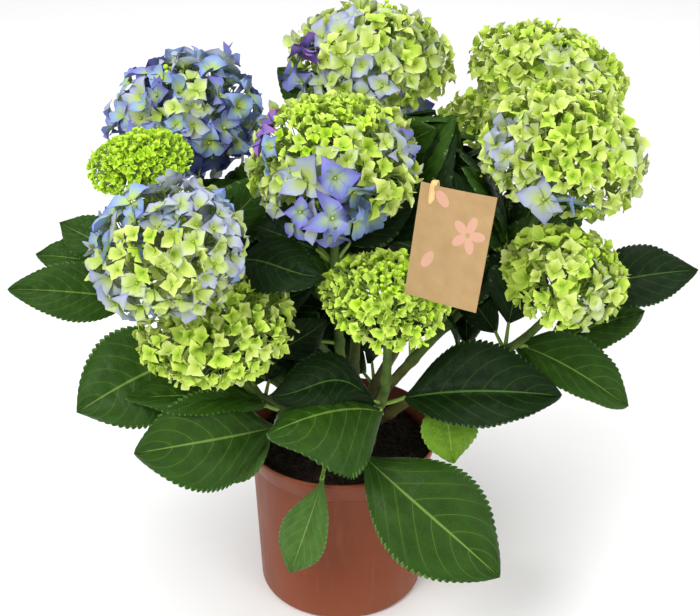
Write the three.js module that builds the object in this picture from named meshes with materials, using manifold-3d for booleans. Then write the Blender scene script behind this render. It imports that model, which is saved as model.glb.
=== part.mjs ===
// A mophead hydrangea in a round plastic nursery pot, made of separate closed solids.
// Millimetres, +Z up. The origin is the middle of the pot's flat underside, and -Y is the front.
import * as THREE from "three";
import { mergeVertices } from "three/addons/utils/BufferGeometryUtils.js";
import Module from "manifold-3d";

const wasm = await Module();
wasm.setup();

// ---- Driving dimensions ----
const POT_HEIGHT = 172;
const RIM_RADIUS = 95;
const COLLAR_HEIGHT = 23;
const COLLAR_FOOT_RADIUS = 89;
const BODY_TOP_RADIUS = 86.6;
const BODY_FOOT_RADIUS = 80.4;
const FOOT_ROUND = 6;
const WALL = 1.9;
const POT_SIDES = 30;
const FLOOR = 2.6;
const DRAIN_HOLES = 6;
const DRAIN_RADIUS = 5;
const DRAIN_CIRCLE = 48;
const FOOT_NOTCHES = 4;
const NOTCH_WIDTH = 28;
const NOTCH_HEIGHT = 3.4;
const SOIL_BELOW_RIM = 14;
const SOIL_RELIEF = 2.2;
const CROWN_FOOT_RADIUS = 25;
const CROWN_TOP_RADIUS = 16;
const CROWN_HEIGHT = 34;
const CROWN_X = 8;
const CROWN_Y = -4;
const STEM_FOOT_RADIUS = 5.4;
const STEM_TIP_RADIUS = 3.6;
const STEM_SIDES = 6;
const STEM_STEPS = 6;
const BLADE_THICKNESS = 1.8;
const BLADE_STEPS = 6;
const STALK_WIDTH = 5;
const CARD_WIDTH = 66.5;
const CARD_HEIGHT = 96;
const CARD_THICKNESS = 1.2;
const CARD_CENTRE = [90.5, -138.5, 445];
const CARD_YAW = THREE.MathUtils.degToRad(28);
const CARD_LEAN = THREE.MathUtils.degToRad(16.5);
const PEG_WIDTH = 6.5;
const PEG_DEPTH = 8;
const PEG_LENGTH = 20;
const PEG_ABOVE_CARD = 3.5;
const PEG_FROM_CORNER = 12.5;
const GAP = 0.4; // left between neighbours that touch
const SOIL_TOP = POT_HEIGHT - SOIL_BELOW_RIM;
const CROWN_FOOT = SOIL_TOP + GAP;
const CROWN_TOP = CROWN_FOOT + CROWN_HEIGHT;

// ---- Materials ----
const finish = (color, roughness) =>
  new THREE.MeshStandardMaterial({ color, roughness, metalness: 0 });
const potPlastic = finish(0xa8553a, 0.5);
const peat = finish(0x1d1712, 0.95);
const woodyBark = finish(0x6d5a3c, 0.85);
const greenStem = finish(0x7f9a45, 0.6);
const leafGreen = finish(0x2c5a22, 0.5);
const freshLeaf = finish(0x7a9a35, 0.5);
const blueBloom = finish(0x7078c4, 0.7);
const lilacBloom = finish(0xa9a8cf, 0.7);
const limeBloom = finish(0xb9cf52, 0.7);
const card = finish(0xc9a36c, 0.85);
const pegWood = finish(0xb98d55, 0.7);

// ---- Solids: from a geometry to a closed solid and back ----
function toSolid(geometry) {
  const bare = geometry.index ? geometry.toNonIndexed() : geometry.clone();
  bare.deleteAttribute("normal");
  bare.deleteAttribute("uv");
  const merged = mergeVertices(bare, 1e-3);
  return new wasm.Manifold(
    new wasm.Mesh({
      numProp: 3,
      vertProperties: merged.attributes.position.array,
      triVerts: new Uint32Array(merged.index.array),
    }),
  );
}

function toGeometry(solid) {
  const mesh = solid.getMesh();
  return new THREE.BufferGeometry()
    .setAttribute(
      "position",
      new THREE.BufferAttribute(Float32Array.from(mesh.vertProperties), 3),
    )
    .setIndex(new THREE.BufferAttribute(Uint32Array.from(mesh.triVerts), 1));
}

function surface(points, triangles) {
  return new THREE.BufferGeometry()
    .setAttribute(
      "position",
      new THREE.Float32BufferAttribute(points.flatMap((p) => [p.x, p.y, p.z]), 3),
    )
    .setIndex(triangles);
}

const boxesMeet = (a, b) =>
  [0, 1, 2].every((i) => a.min[i] < b.max[i] && b.min[i] < a.max[i]);
const largest = (solid) =>
  solid.decompose().reduce((best, s) => (s.volume() > best.volume() ? s : best));

// Everything placed so far, each a little grown, so that what comes next is cut clear of it.
const placed = [];
const plant = new THREE.Group();

function place(name, material, shape, cut = true) {
  let solid = toSolid(shape(0));
  if (cut) {
    for (const { grown, box } of placed) {
      if (boxesMeet(solid.boundingBox(), box)) solid = solid.subtract(grown);
    }
    solid = largest(solid);
  }
  const grown = toSolid(shape(GAP));
  placed.push({ grown, box: grown.boundingBox() });
  const mesh = new THREE.Mesh(toGeometry(solid), material);
  mesh.name = name;
  plant.add(mesh);
}

// A smooth unevenness of about -1 to 1 in every direction, which depends on a seed.
function lumps(direction, seed) {
  const { x, y, z } = direction;
  return (
    0.5 * Math.sin(3.1 * x + 2.3 * y + seed * 1.7) +
    0.3 * Math.sin(4.7 * y - 3.9 * z + seed * 2.9) +
    0.2 * Math.sin(6.3 * z + 5.1 * x + seed * 4.1)
  );
}

// ---- Pot: a lathed shell with a tapered collar, foot notches and drain holes ----
function potWall(grow) {
  const collarFoot = POT_HEIGHT - COLLAR_HEIGHT;
  const outline = [
    [0, -grow],
    [BODY_FOOT_RADIUS - FOOT_ROUND, -grow],
    [BODY_FOOT_RADIUS - 0.3 * FOOT_ROUND + grow, 0.3 * FOOT_ROUND - grow],
    [BODY_FOOT_RADIUS + grow, FOOT_ROUND],
    [BODY_TOP_RADIUS + grow, collarFoot - grow],
    [COLLAR_FOOT_RADIUS + grow, collarFoot - grow],
    [RIM_RADIUS + grow, POT_HEIGHT - 1],
    [RIM_RADIUS - 0.5 + grow, POT_HEIGHT + grow],
    [RIM_RADIUS - WALL - grow, POT_HEIGHT + grow],
    [COLLAR_FOOT_RADIUS - WALL - grow, collarFoot + WALL],
    [BODY_TOP_RADIUS - WALL - grow, collarFoot - WALL],
    [BODY_FOOT_RADIUS - WALL - grow, FOOT_ROUND + WALL],
    [BODY_FOOT_RADIUS - FOOT_ROUND, FLOOR + grow],
    [0, FLOOR + grow],
  ].map(([radius, z]) => new THREE.Vector2(radius, z));
  return new THREE.LatheGeometry(outline, POT_SIDES).rotateX(Math.PI / 2);
}

function potShell(grow) {
  if (grow) return potWall(grow);
  let solid = toSolid(potWall(0));
  for (let i = 0; i < DRAIN_HOLES; i += 1) {
    const angle = (i + 0.5) * ((2 * Math.PI) / DRAIN_HOLES);
    const drill = new THREE.CylinderGeometry(DRAIN_RADIUS, DRAIN_RADIUS, 4 * FLOOR, 8)
      .rotateX(Math.PI / 2)
      .translate(DRAIN_CIRCLE * Math.cos(angle), DRAIN_CIRCLE * Math.sin(angle), 0);
    solid = solid.subtract(toSolid(drill));
  }
  for (let i = 0; i < FOOT_NOTCHES; i += 1) {
    const angle = (i * 2 * Math.PI) / FOOT_NOTCHES - 0.05;
    const notch = new THREE.BoxGeometry(2 * FOOT_ROUND, NOTCH_WIDTH, 2 * NOTCH_HEIGHT)
      .translate(BODY_FOOT_RADIUS, 0, 0)
      .rotateZ(angle);
    solid = solid.subtract(toSolid(notch));
  }
  return toGeometry(solid);
}

// ---- Soil: fills the pot to a little below the rim, with a low uneven top ----
function soilFill() {
  const inner = (z) =>
    BODY_FOOT_RADIUS -
    WALL -
    GAP +
    ((BODY_TOP_RADIUS - BODY_FOOT_RADIUS) * (z - FOOT_ROUND)) /
      (POT_HEIGHT - COLLAR_HEIGHT - FOOT_ROUND);
  const collarFoot = POT_HEIGHT - COLLAR_HEIGHT;
  const rimSlope = (RIM_RADIUS - COLLAR_FOOT_RADIUS) / COLLAR_HEIGHT;
  const topRadius =
    COLLAR_FOOT_RADIUS - WALL - 2 * GAP + rimSlope * (SOIL_TOP - collarFoot - WALL);
  const foot = FLOOR + GAP;
  const outline = [
    [0, foot],
    [BODY_FOOT_RADIUS - FOOT_ROUND - 3 * WALL, foot],
    [inner(FOOT_ROUND + WALL) - 2 * GAP, FOOT_ROUND + 3 * WALL],
    [inner(collarFoot - 2 * WALL) - GAP, collarFoot - 2 * WALL],
    [topRadius - 2, SOIL_TOP - 3],
    [topRadius * 0.78, SOIL_TOP],
    [topRadius * 0.55, SOIL_TOP],
    [CROWN_FOOT_RADIUS + CROWN_X + 4, SOIL_TOP],
    [0, SOIL_TOP],
  ].map(([radius, z]) => new THREE.Vector2(radius, z));
  const fill = new THREE.LatheGeometry(outline, POT_SIDES).rotateX(Math.PI / 2);
  const position = fill.getAttribute("position");
  for (let i = 0; i < position.count; i += 1) {
    const x = position.getX(i);
    const y = position.getY(i);
    const reach = Math.hypot(x, y);
    if (position.getZ(i) === SOIL_TOP && reach > CROWN_FOOT_RADIUS + CROWN_X + 5) {
      const rise = lumps(new THREE.Vector3(x / 40, y / 40, 0), 3);
      position.setZ(i, SOIL_TOP + SOIL_RELIEF * rise);
    }
  }
  return fill;
}

// ---- Limbs: a tapering tube along a smooth curve, closed at both ends ----
function limb(route, footRadius, tipRadius, steps, sides, grow) {
  const curve = new THREE.CatmullRomCurve3(route.map((p) => new THREE.Vector3(...p)));
  const frames = curve.computeFrenetFrames(steps, false);
  const points = [];
  const triangles = [];
  for (let i = 0; i <= steps; i += 1) {
    const along = i / steps;
    const radius = footRadius + (tipRadius - footRadius) * along + grow;
    const centre = curve.getPointAt(along);
    if (i === 0) centre.addScaledVector(frames.tangents[i], -grow);
    if (i === steps) centre.addScaledVector(frames.tangents[i], grow);
    for (let j = 0; j < sides; j += 1) {
      const turn = (j / sides) * 2 * Math.PI;
      points.push(
        centre
          .clone()
          .addScaledVector(frames.normals[i], radius * Math.cos(turn))
          .addScaledVector(frames.binormals[i], radius * Math.sin(turn)),
      );
    }
  }
  for (let i = 0; i < steps; i += 1) {
    for (let j = 0; j < sides; j += 1) {
      const a = i * sides + j;
      const b = i * sides + ((j + 1) % sides);
      triangles.push(a, b, b + sides, a, b + sides, a + sides);
    }
  }
  const last = steps * sides;
  for (let j = 1; j < sides - 1; j += 1) {
    triangles.push(0, j + 1, j, last, last + j, last + j + 1);
  }
  return surface(points, triangles);
}

// The woody base that all the stems rise from: flared where it meets the soil, cut flat there.
function crownBase(grow) {
  const outline = [
    [0, CROWN_FOOT],
    [CROWN_FOOT_RADIUS, CROWN_FOOT],
    [CROWN_FOOT_RADIUS * 0.82, CROWN_FOOT + CROWN_HEIGHT * 0.2],
    [CROWN_TOP_RADIUS * 1.06, CROWN_FOOT + CROWN_HEIGHT * 0.55],
    [CROWN_TOP_RADIUS, CROWN_TOP - 3],
    [CROWN_TOP_RADIUS * 0.6, CROWN_TOP],
    [0, CROWN_TOP],
  ].map(([radius, z]) => new THREE.Vector2(radius && radius + grow, z));
  outline[0].y -= grow;
  outline[1].y -= grow;
  outline[5].y += grow;
  outline[6].y += grow;
  const base = new THREE.LatheGeometry(outline, 12).rotateX(Math.PI / 2);
  const position = base.getAttribute("position");
  for (let i = 0; i < position.count; i += 1) {
    const x = position.getX(i);
    const y = position.getY(i);
    const knob = 1 + 0.1 * Math.sin(3 * Math.atan2(y, x) + 0.6);
    position.setXY(i, CROWN_X + x * knob, CROWN_Y + y * knob);
  }
  return base;
}

// ---- Rounded masses: an uneven ball, flatter below, which leans with its stem ----
function unevenBall(spec, grow) {
  const { centre, radius, up, down, lean, roughness, seed, around, rings } = spec;
  const axis = new THREE.Vector3(...lean, 1).normalize();
  const turn = new THREE.Quaternion().setFromUnitVectors(
    new THREE.Vector3(0, 0, 1),
    axis,
  );
  const [radiusX, radiusY] = Array.isArray(radius) ? radius : [radius, radius];
  const at = (ring, step) => {
    const polar = (ring / rings) * Math.PI;
    const azimuth = (step / around) * 2 * Math.PI;
    const direction = new THREE.Vector3(
      Math.sin(polar) * Math.cos(azimuth),
      Math.sin(polar) * Math.sin(azimuth),
      Math.cos(polar),
    );
    const swell = 1 + roughness * lumps(direction, seed);
    const height = direction.z > 0 ? up : down;
    return new THREE.Vector3(
      direction.x * (radiusX * swell + grow),
      direction.y * (radiusY * swell + grow),
      direction.z * (height * swell + grow),
    )
      .applyQuaternion(turn)
      .add(new THREE.Vector3(...centre));
  };
  const points = [at(0, 0)];
  for (let ring = 1; ring < rings; ring += 1) {
    for (let step = 0; step < around; step += 1) points.push(at(ring, step));
  }
  points.push(at(rings, 0));
  const index = (ring, step) => 1 + (ring - 1) * around + (step % around);
  const triangles = [];
  for (let step = 0; step < around; step += 1) {
    triangles.push(0, index(1, step), index(1, step + 1));
    triangles.push(points.length - 1, index(rings - 1, step + 1), index(rings - 1, step));
    for (let ring = 1; ring < rings - 1; ring += 1) {
      const a = index(ring, step);
      const b = index(ring, step + 1);
      const c = index(ring + 1, step + 1);
      const d = index(ring + 1, step);
      triangles.push(a, d, c, a, c, b);
    }
  }
  return surface(points, triangles);
}

// ---- Leaves: a thin ovate blade, arched, rolled and folded along its rib, on a narrow stalk ----
function blade(spec, grow) {
  const { foot, base, tip, width, arch, roll, fold } = spec;
  const start = new THREE.Vector3(...base);
  const chord = new THREE.Vector3(...tip).sub(start);
  const along = chord.clone().normalize();
  const level = new THREE.Vector3().crossVectors(along, new THREE.Vector3(0, 0, 1));
  const side = level.normalize().applyAxisAngle(along, THREE.MathUtils.degToRad(roll));
  const face = new THREE.Vector3().crossVectors(side, along);
  const points = [];
  const addRow = (rib, half) => {
    const thick = BLADE_THICKNESS / 2 + grow;
    for (const across of [-1, 0, 1]) {
      const edge = rib
        .clone()
        .addScaledVector(side, across * half)
        .addScaledVector(face, Math.abs(across) * half * fold);
      points.push(edge.clone().addScaledVector(face, thick));
      points.push(edge.clone().addScaledVector(face, -thick));
    }
  };
  addRow(new THREE.Vector3(...foot), STALK_WIDTH / 2 + grow);
  for (let i = 0; i <= BLADE_STEPS; i += 1) {
    const t = i / BLADE_STEPS;
    const ovate = Math.sin(Math.PI * Math.pow(t * 0.97 + 0.015, 0.78));
    const rib = start
      .clone()
      .addScaledVector(chord, t)
      .addScaledVector(face, arch * 4 * t * (1 - t));
    if (i === BLADE_STEPS) rib.addScaledVector(along, grow);
    addRow(rib, (width / 2) * Math.pow(ovate, 0.85) + grow);
  }
  const row = 6;
  const end = (BLADE_STEPS + 1) * row;
  const triangles = [];
  const quad = (a, b, c, d) => triangles.push(a, b, c, a, c, d);
  for (let k = 0; k < end; k += row) {
    for (const s of [0, 2]) {
      quad(k + s, k + s + 2, k + row + s + 2, k + row + s);
      quad(k + s + 3, k + s + 1, k + row + s + 1, k + row + s + 3);
    }
    quad(k + 1, k, k + row, k + row + 1);
    quad(k + 4, k + 5, k + row + 5, k + row + 4);
  }
  for (const s of [0, 2]) {
    quad(s, s + 1, s + 3, s + 2);
    quad(end + s, end + s + 2, end + s + 3, end + s + 1);
  }
  return surface(points, triangles);
}

// ---- Flower heads: name, centre, radius, height above and below the centre, lean, colour ----
const heads = [
  { name: "left_bud", centre: [-174, -24, 467], radius: 51, up: 20, down: 15, bloom: limeBloom },
  { name: "centre_low", centre: [42, -107, 377], radius: 61, up: 30, down: 18, bloom: limeBloom },
  { name: "left_back", centre: [-144, 88, 461], radius: 71, up: 62, down: 54, bloom: blueBloom },
  { name: "left", centre: [-143, -119, 430], radius: 70, up: 52, down: 46, bloom: lilacBloom },
  { name: "left_front", centre: [-108, -96, 345], radius: 75, up: 42, down: 34, bloom: limeBloom },
  { name: "centre", centre: [-5, -24, 465], radius: 78, up: 62, down: 58, bloom: lilacBloom },
  { name: "top_back", centre: [27, 111, 507], radius: 79, up: 52, down: 38, bloom: limeBloom },
  { name: "right", centre: [195, 3, 466], radius: 79, up: 56, down: 54, bloom: limeBloom },
  { name: "right_back", centre: [200, 159, 470], radius: 82, up: 50, down: 38, bloom: limeBloom },
  { name: "right_low", centre: [197, -69, 378], radius: 57, up: 43, down: 37, bloom: limeBloom },
  { name: "back_left", centre: [-150, 205, 385], radius: 68, up: 48, down: 38, bloom: lilacBloom },
  { name: "back_middle", centre: [20, 232, 408], radius: 70, up: 46, down: 38, bloom: blueBloom },
  { name: "back_right", centre: [160, 252, 372], radius: 64, up: 44, down: 36, bloom: limeBloom },
];
const HEAD_LEAN = 0.0012; // outward lean for each millimetre from the middle of the plant

function headSpec(head, i) {
  const [x, y] = head.centre;
  const lean = [x * HEAD_LEAN, (y - 60) * HEAD_LEAN];
  return { ...head, lean, roughness: 0.07, seed: i + 1, around: 12, rings: 7 };
}

// The point just under the middle of a head, where its stem ends.
function headFoot({ centre, down, lean }) {
  const axis = new THREE.Vector3(...lean, 1).normalize();
  return new THREE.Vector3(...centre).addScaledVector(axis, -down * 1.1 - 2 * GAP).toArray();
}

// ---- Stems: where each leaves the crown base, and the bends that it passes through ----
const stems = {
  left_bud: [[-1, 2, 190], [-70, -2, 285], [-140, -14, 375]],
  centre_low: [[14, -16, 186], [38, -66, 246], [42, -92, 300]],
  left_back: [[2, 8, 186], [-55, 45, 280], [-112, 76, 350]],
  left: [[-6, -10, 182], [-68, -44, 262], [-122, -92, 330]],
  left_front: [[2, -17, 178], [-50, -66, 236], [-82, -88, 274]],
  centre: [[4, -6, 198], [-2, -10, 290], [-5, -20, 370]],
  top_back: [[10, 4, 198], [18, 50, 300], [26, 92, 410]],
  right: [[20, -2, 190], [92, 0, 280], [166, 4, 370]],
  right_back: [[18, 6, 186], [88, 70, 290], [168, 134, 385]],
  right_low: [[24, -10, 180], [100, -26, 246], [156, -42, 288]],
  back_left: [[3, 12, 178], [-55, 100, 250], [-120, 168, 300]],
  back_middle: [[12, 14, 178], [16, 110, 250], [20, 190, 320]],
  back_right: [[20, 12, 178], [78, 120, 240], [130, 200, 290]],
};

const stemRoutes = Object.fromEntries(
  heads.map(headSpec).map((head) => [head.name, [...stems[head.name], headFoot(head)]]),
);

// The point beside a stem, a given share of the way up it, that faces a leaf's base.
function stalkFoot([stem, share], base) {
  const curve = new THREE.CatmullRomCurve3(
    stemRoutes[stem].map((p) => new THREE.Vector3(...p)),
  );
  const centre = curve.getPointAt(share);
  const radius = STEM_FOOT_RADIUS + (STEM_TIP_RADIUS - STEM_FOOT_RADIUS) * share;
  const towards = new THREE.Vector3(...base).sub(centre).normalize();
  return centre.addScaledVector(towards, radius).toArray();
}

// ---- Leaves that stand clear of the masses ----
// Each has its stem and how far up it the leaf stalk leaves, then the blade's base and tip.
const leaves = {
  over_pot: {
    on: ["centre_low", 0.12], base: [24, -98, 202], tip: [146, -152, 113],
    width: 100, arch: 12, roll: 46, fold: 0.06,
  },
  spoon: {
    on: ["left_front", 0.1], base: [-17, -106, 187], tip: [-47, -128, 98],
    width: 50, arch: 5, roll: -46, fold: 0.12,
  },
  front_centre: {
    on: ["centre_low", 0.36], base: [34, -92, 254], tip: [-64, -150, 270],
    width: 104, arch: 14, roll: -17, fold: -0.5,
  },
  quilted: {
    on: ["left_front", 0.42], base: [-66, -92, 232], tip: [-178, -160, 255],
    width: 90, arch: 12, roll: -58, fold: 0.08,
  },
  small_low: {
    on: ["left_front", 0.3], base: [-66, -88, 221], tip: [-115, -112, 187],
    width: 42, arch: 3, roll: -20, fold: 0.1,
  },
  left_low: {
    on: ["left", 0.6], base: [-152, -72, 296], tip: [-232, -114, 264],
    width: 90, arch: 8, roll: -42, fold: 0.08,
  },
  left_thin: {
    on: ["left_front", 0.5], base: [-70, -94, 264], tip: [-188, -118, 284],
    width: 62, arch: 6, roll: -4, fold: 0.2,
  },
  centre_dark: {
    on: ["centre_low", 0.42], base: [28, -76, 256], tip: [-61, -118, 288],
    width: 70, arch: 10, roll: -36, fold: 0.08,
  },
  right_long: {
    on: ["centre_low", 0.38], base: [65, -70, 256], tip: [199, -92, 268],
    width: 82, arch: 10, roll: 30, fold: 0.5,
  },
  lime_low: {
    on: ["right_low", 0.42], base: [94, -62, 241], tip: [105, -98, 200],
    width: 54, arch: 4, roll: 0, fold: 0.1,
  },
  right_folded: {
    on: ["right_low", 0.7], base: [164, -28, 286], tip: [262, -74, 245],
    width: 66, arch: 8, roll: 14, fold: 0.35,
  },
  right_mid: {
    on: ["right_low", 0.76], base: [193, -8, 272], tip: [287, 14, 295],
    width: 54, arch: 6, roll: 22, fold: 0.16,
  },
  far_right: {
    on: ["right", 0.66], base: [222, 12, 320], tip: [334, 24, 336],
    width: 62, arch: 6, roll: 34, fold: 0.12,
  },
  far_left: {
    on: ["left_bud", 0.6], base: [-182, -38, 338], tip: [-294, -60, 362],
    width: 54, arch: 6, roll: -44, fold: 0.12,
  },
  left_upper: {
    on: ["left_bud", 0.74], base: [-206, -2, 366], tip: [-257, 20, 387],
    width: 42, arch: 4, roll: -40, fold: 0.12,
  },
  left_middle: {
    on: ["left_bud", 0.7], base: [-208, -10, 358], tip: [-279, 6, 361],
    width: 40, arch: 4, roll: -34, fold: 0.12,
  },
  top_gap: {
    on: ["top_back", 0.86], base: [-6, 84, 472], tip: [-58, 112, 501],
    width: 34, arch: 4, roll: -30, fold: 0.12,
  },
  under_centre: {
    on: ["left", 0.78], base: [-88, -62, 388], tip: [-15, -104, 398],
    width: 62, arch: 6, roll: 36, fold: 0.1,
  },
};

// ---- Masses of foliage: centre, radii across, height above and below ----
const masses = {
  left_upper: { centre: [-132, 26, 374], radius: [64, 60], up: 34, down: 30 },
  left_lower: { centre: [-104, -14, 290], radius: [66, 44], up: 34, down: 36 },
  middle_upper: { centre: [-52, 34, 410], radius: [58, 50], up: 44, down: 40 },
  middle_right: { centre: [96, 28, 432], radius: [50, 54], up: 68, down: 48 },
  middle_heart: { centre: [12, 4, 338], radius: [84, 60], up: 50, down: 44 },
  right_upper: { centre: [176, 46, 378], radius: [66, 58], up: 36, down: 32 },
  right_lower: { centre: [132, 34, 312], radius: [56, 42], up: 32, down: 28 },
  back_left: { centre: [-88, 140, 300], radius: [70, 54], up: 42, down: 46 },
  back_middle: { centre: [10, 160, 330], radius: [52, 46], up: 44, down: 42 },
  back_right: { centre: [112, 160, 300], radius: [72, 56], up: 48, down: 48 },
  back_low: { centre: [-6, 120, 232], radius: [84, 42], up: 34, down: 36 },
};

// ---- Card: hangs from a small wooden peg, turned and with its top leaning back ----
function hangingCard(grow) {
  return new THREE.BoxGeometry(
    CARD_WIDTH + 2 * grow,
    CARD_THICKNESS + 2 * grow,
    CARD_HEIGHT + 2 * grow,
  )
    .rotateX(-CARD_LEAN)
    .rotateZ(-CARD_YAW)
    .translate(...CARD_CENTRE);
}

// The peg grips the card's top edge near its left corner, with the card between its two jaws.
function peg(grow) {
  return new THREE.BoxGeometry(
    PEG_WIDTH + 2 * grow,
    PEG_DEPTH + 2 * grow,
    PEG_LENGTH + 2 * grow,
  )
    .translate(
      PEG_FROM_CORNER - CARD_WIDTH / 2,
      0,
      CARD_HEIGHT / 2 + PEG_ABOVE_CARD - PEG_LENGTH / 2,
    )
    .rotateX(-CARD_LEAN)
    .rotateZ(-CARD_YAW)
    .translate(...CARD_CENTRE);
}

// ---- Assembly: what is placed first stays whole, and what follows is cut clear of it ----
place("pot", potPlastic, potShell, false);
place("soil", peat, soilFill, false);
place("crown_base", woodyBark, crownBase, false);
heads.map(headSpec).forEach((head) => {
  const route = stemRoutes[head.name];
  place("stem_" + head.name, greenStem, (grow) =>
    limb(route, STEM_FOOT_RADIUS, STEM_TIP_RADIUS, STEM_STEPS, STEM_SIDES, grow),
  );
});
place("card", card, hangingCard);
place("card_peg", pegWood, peg);
heads.map(headSpec).forEach((head) => {
  place("head_" + head.name, head.bloom, (grow) => unevenBall(head, grow));
});
for (const [name, leaf] of Object.entries(leaves)) {
  const green = name === "lime_low" ? freshLeaf : leafGreen;
  const foot = stalkFoot(leaf.on, leaf.base);
  place("leaf_" + name, green, (grow) => blade({ ...leaf, foot }, grow));
}
Object.entries(masses).forEach(([name, mass], i) => {
  const spec = { ...mass, lean: [0, 0], roughness: 0.13, seed: 20 + i, around: 9, rings: 6 };
  place("foliage_" + name, leafGreen, (grow) => unevenBall(spec, grow));
});

export default plant;
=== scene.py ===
"""A mophead hydrangea in a round nursery pot, with a kraft card pegged to it, on a pale studio floor.

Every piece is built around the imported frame, in metres, and stands where its CAD node stands."""

import math

import bpy
import numpy as np
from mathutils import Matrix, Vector
from mathutils.bvhtree import BVHTree


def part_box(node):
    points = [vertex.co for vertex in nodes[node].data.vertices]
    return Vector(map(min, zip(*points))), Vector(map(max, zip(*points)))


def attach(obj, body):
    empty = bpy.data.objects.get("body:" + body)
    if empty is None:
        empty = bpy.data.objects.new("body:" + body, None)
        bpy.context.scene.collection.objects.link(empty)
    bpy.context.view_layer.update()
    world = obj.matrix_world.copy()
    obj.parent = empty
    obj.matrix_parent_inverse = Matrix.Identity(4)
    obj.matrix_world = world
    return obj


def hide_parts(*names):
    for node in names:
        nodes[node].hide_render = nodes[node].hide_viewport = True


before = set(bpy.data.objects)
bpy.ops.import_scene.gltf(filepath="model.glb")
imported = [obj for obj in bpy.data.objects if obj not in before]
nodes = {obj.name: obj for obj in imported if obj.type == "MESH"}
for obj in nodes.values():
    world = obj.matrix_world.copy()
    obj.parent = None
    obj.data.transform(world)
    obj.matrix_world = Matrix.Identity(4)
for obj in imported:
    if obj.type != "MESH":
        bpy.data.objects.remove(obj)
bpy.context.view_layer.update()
bpy.ops.object.select_all(action="DESELECT")


# ---- Pot ----
# Thin injection-moulded plastic, semi-matt terracotta brown. The wall is one shell: a rounded rim, a
# tapering collar with a stacking step under it, a tapering body, and a foot with notches and drain holes.
def node_in(tree, kind, inputs=None, **settings):
    """Adds a shader node. An input is given by name or number, as a value or as the socket that feeds it."""
    made = tree.nodes.new("ShaderNode" + kind)
    for name, value in settings.items():
        setattr(made, name, value)
    for name, value in (inputs or {}).items():
        if isinstance(value, bpy.types.NodeSocket):
            tree.links.new(value, made.inputs[name])
        else:
            made.inputs[name].default_value = value
    return made


def plain_material(name, roughness, specular=0.5):
    """A new material with its Principled BSDF set, and its node tree."""
    material = bpy.data.materials.new(name)
    material.use_nodes = True
    shader = material.node_tree.nodes["Principled BSDF"]
    shader.inputs["Roughness"].default_value = roughness
    shader.inputs["Specular IOR Level"].default_value = specular
    return material, material.node_tree, shader


def colour(code):
    """A linear colour with alpha from the usual six-digit code."""
    parts = [int(code[i : i + 2], 16) / 255 for i in (0, 2, 4)]
    return [p / 12.92 if p < 0.04045 else ((p + 0.055) / 1.055) ** 2.4 for p in parts] + [1.0]


def mottle_group():
    """Two sizes of cloudy unevenness and a fine grain, for surfaces that are never quite one colour."""
    group = bpy.data.node_groups.new("mottle", "ShaderNodeTree")
    for name, kind, start in (
        ("Vector", "NodeSocketVector", None),
        ("Cloud Scale", "NodeSocketFloat", 8.0),
        ("Grain Scale", "NodeSocketFloat", 400.0),
    ):
        socket = group.interface.new_socket(name, in_out="INPUT", socket_type=kind)
        if start is not None:
            socket.default_value = start
    group.interface.new_socket("Cloud", in_out="OUTPUT", socket_type="NodeSocketFloat")
    group.interface.new_socket("Grain", in_out="OUTPUT", socket_type="NodeSocketFloat")
    start = group.nodes.new("NodeGroupInput")
    end = group.nodes.new("NodeGroupOutput")
    where = start.outputs["Vector"]
    for output, detail in (("Cloud", 4.0), ("Grain", 2.0)):
        pattern = {"Vector": where, "Scale": start.outputs[output + " Scale"], "Detail": detail}
        group.links.new(node_in(group, "TexNoise", pattern).outputs["Fac"], end.inputs[output])
    return group


mottle = mottle_group()


def mottled(tree, where, cloud_scale, grain_scale):
    """The mottle group, placed in one material."""
    made = tree.nodes.new("ShaderNodeGroup")
    made.node_tree = mottle
    tree.links.new(where, made.inputs["Vector"])
    made.inputs["Cloud Scale"].default_value = cloud_scale
    made.inputs["Grain Scale"].default_value = grain_scale
    return made.outputs["Cloud"], made.outputs["Grain"]


def ramp(tree, factor, stops, interpolation="LINEAR"):
    """A colour ramp's output, from (position, six-digit colour code) stops."""
    made = node_in(tree, "ValToRGB", {"Fac": factor})
    made.color_ramp.interpolation = interpolation
    for i, (place, shade) in enumerate(stops):
        stop = made.color_ramp.elements[i] if i < 2 else made.color_ramp.elements.new(place)
        stop.position = place
        stop.color = colour(shade)
    return made.outputs["Color"]


def remapped(tree, value, low, high, start, end, kind="LINEAR"):
    """A value moved from one range to another, and held at its ends."""
    ends = {"Value": value, "From Min": low, "From Max": high, "To Min": start, "To Max": end}
    return node_in(tree, "MapRange", ends, interpolation_type=kind).outputs["Result"]


def span(tree, value, low, high):
    """A smooth rise from 0 to 1 between two values."""
    return remapped(tree, value, low, high, 0.0, 1.0, "SMOOTHSTEP")


def maths(tree, kind, a, b=0.0, c=0.0):
    return node_in(tree, "Math", {0: a, 1: b, 2: c}, operation=kind).outputs[0]


def mixed(tree, share, a, b):
    """Two colours mixed by a share of the second."""
    return node_in(tree, "Mix", {"Factor": share, "A": a, "B": b}, data_type="RGBA").outputs["Result"]


def scaled(tree, where, scale):
    """A pattern's place, stretched along each axis."""
    return node_in(tree, "Mapping", {"Vector": where, "Scale": scale}).outputs[0]


def noise(tree, where, scale, detail):
    return node_in(tree, "TexNoise", {"Vector": where, "Scale": scale, "Detail": detail}).outputs["Fac"]


def dress(tree, shader, tone, height, strength, depth):
    """Feeds a shader its colour, and its bump from a height."""
    tree.links.new(tone, shader.inputs["Base Color"])
    bump = node_in(tree, "Bump", {"Height": height, "Strength": strength, "Distance": depth})
    tree.links.new(bump.outputs["Normal"], shader.inputs["Normal"])


def finish_piece(piece, slot, *replaced):
    """A finished piece rides on the plant's one body and hides the CAD parts it replaces; its slot is not
    used.
    """
    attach(piece, "root")
    if replaced:
        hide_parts(*replaced)


def select_only(piece):
    bpy.ops.object.select_all(action="DESELECT")
    piece.select_set(True)
    bpy.context.view_layer.objects.active = piece


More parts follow.
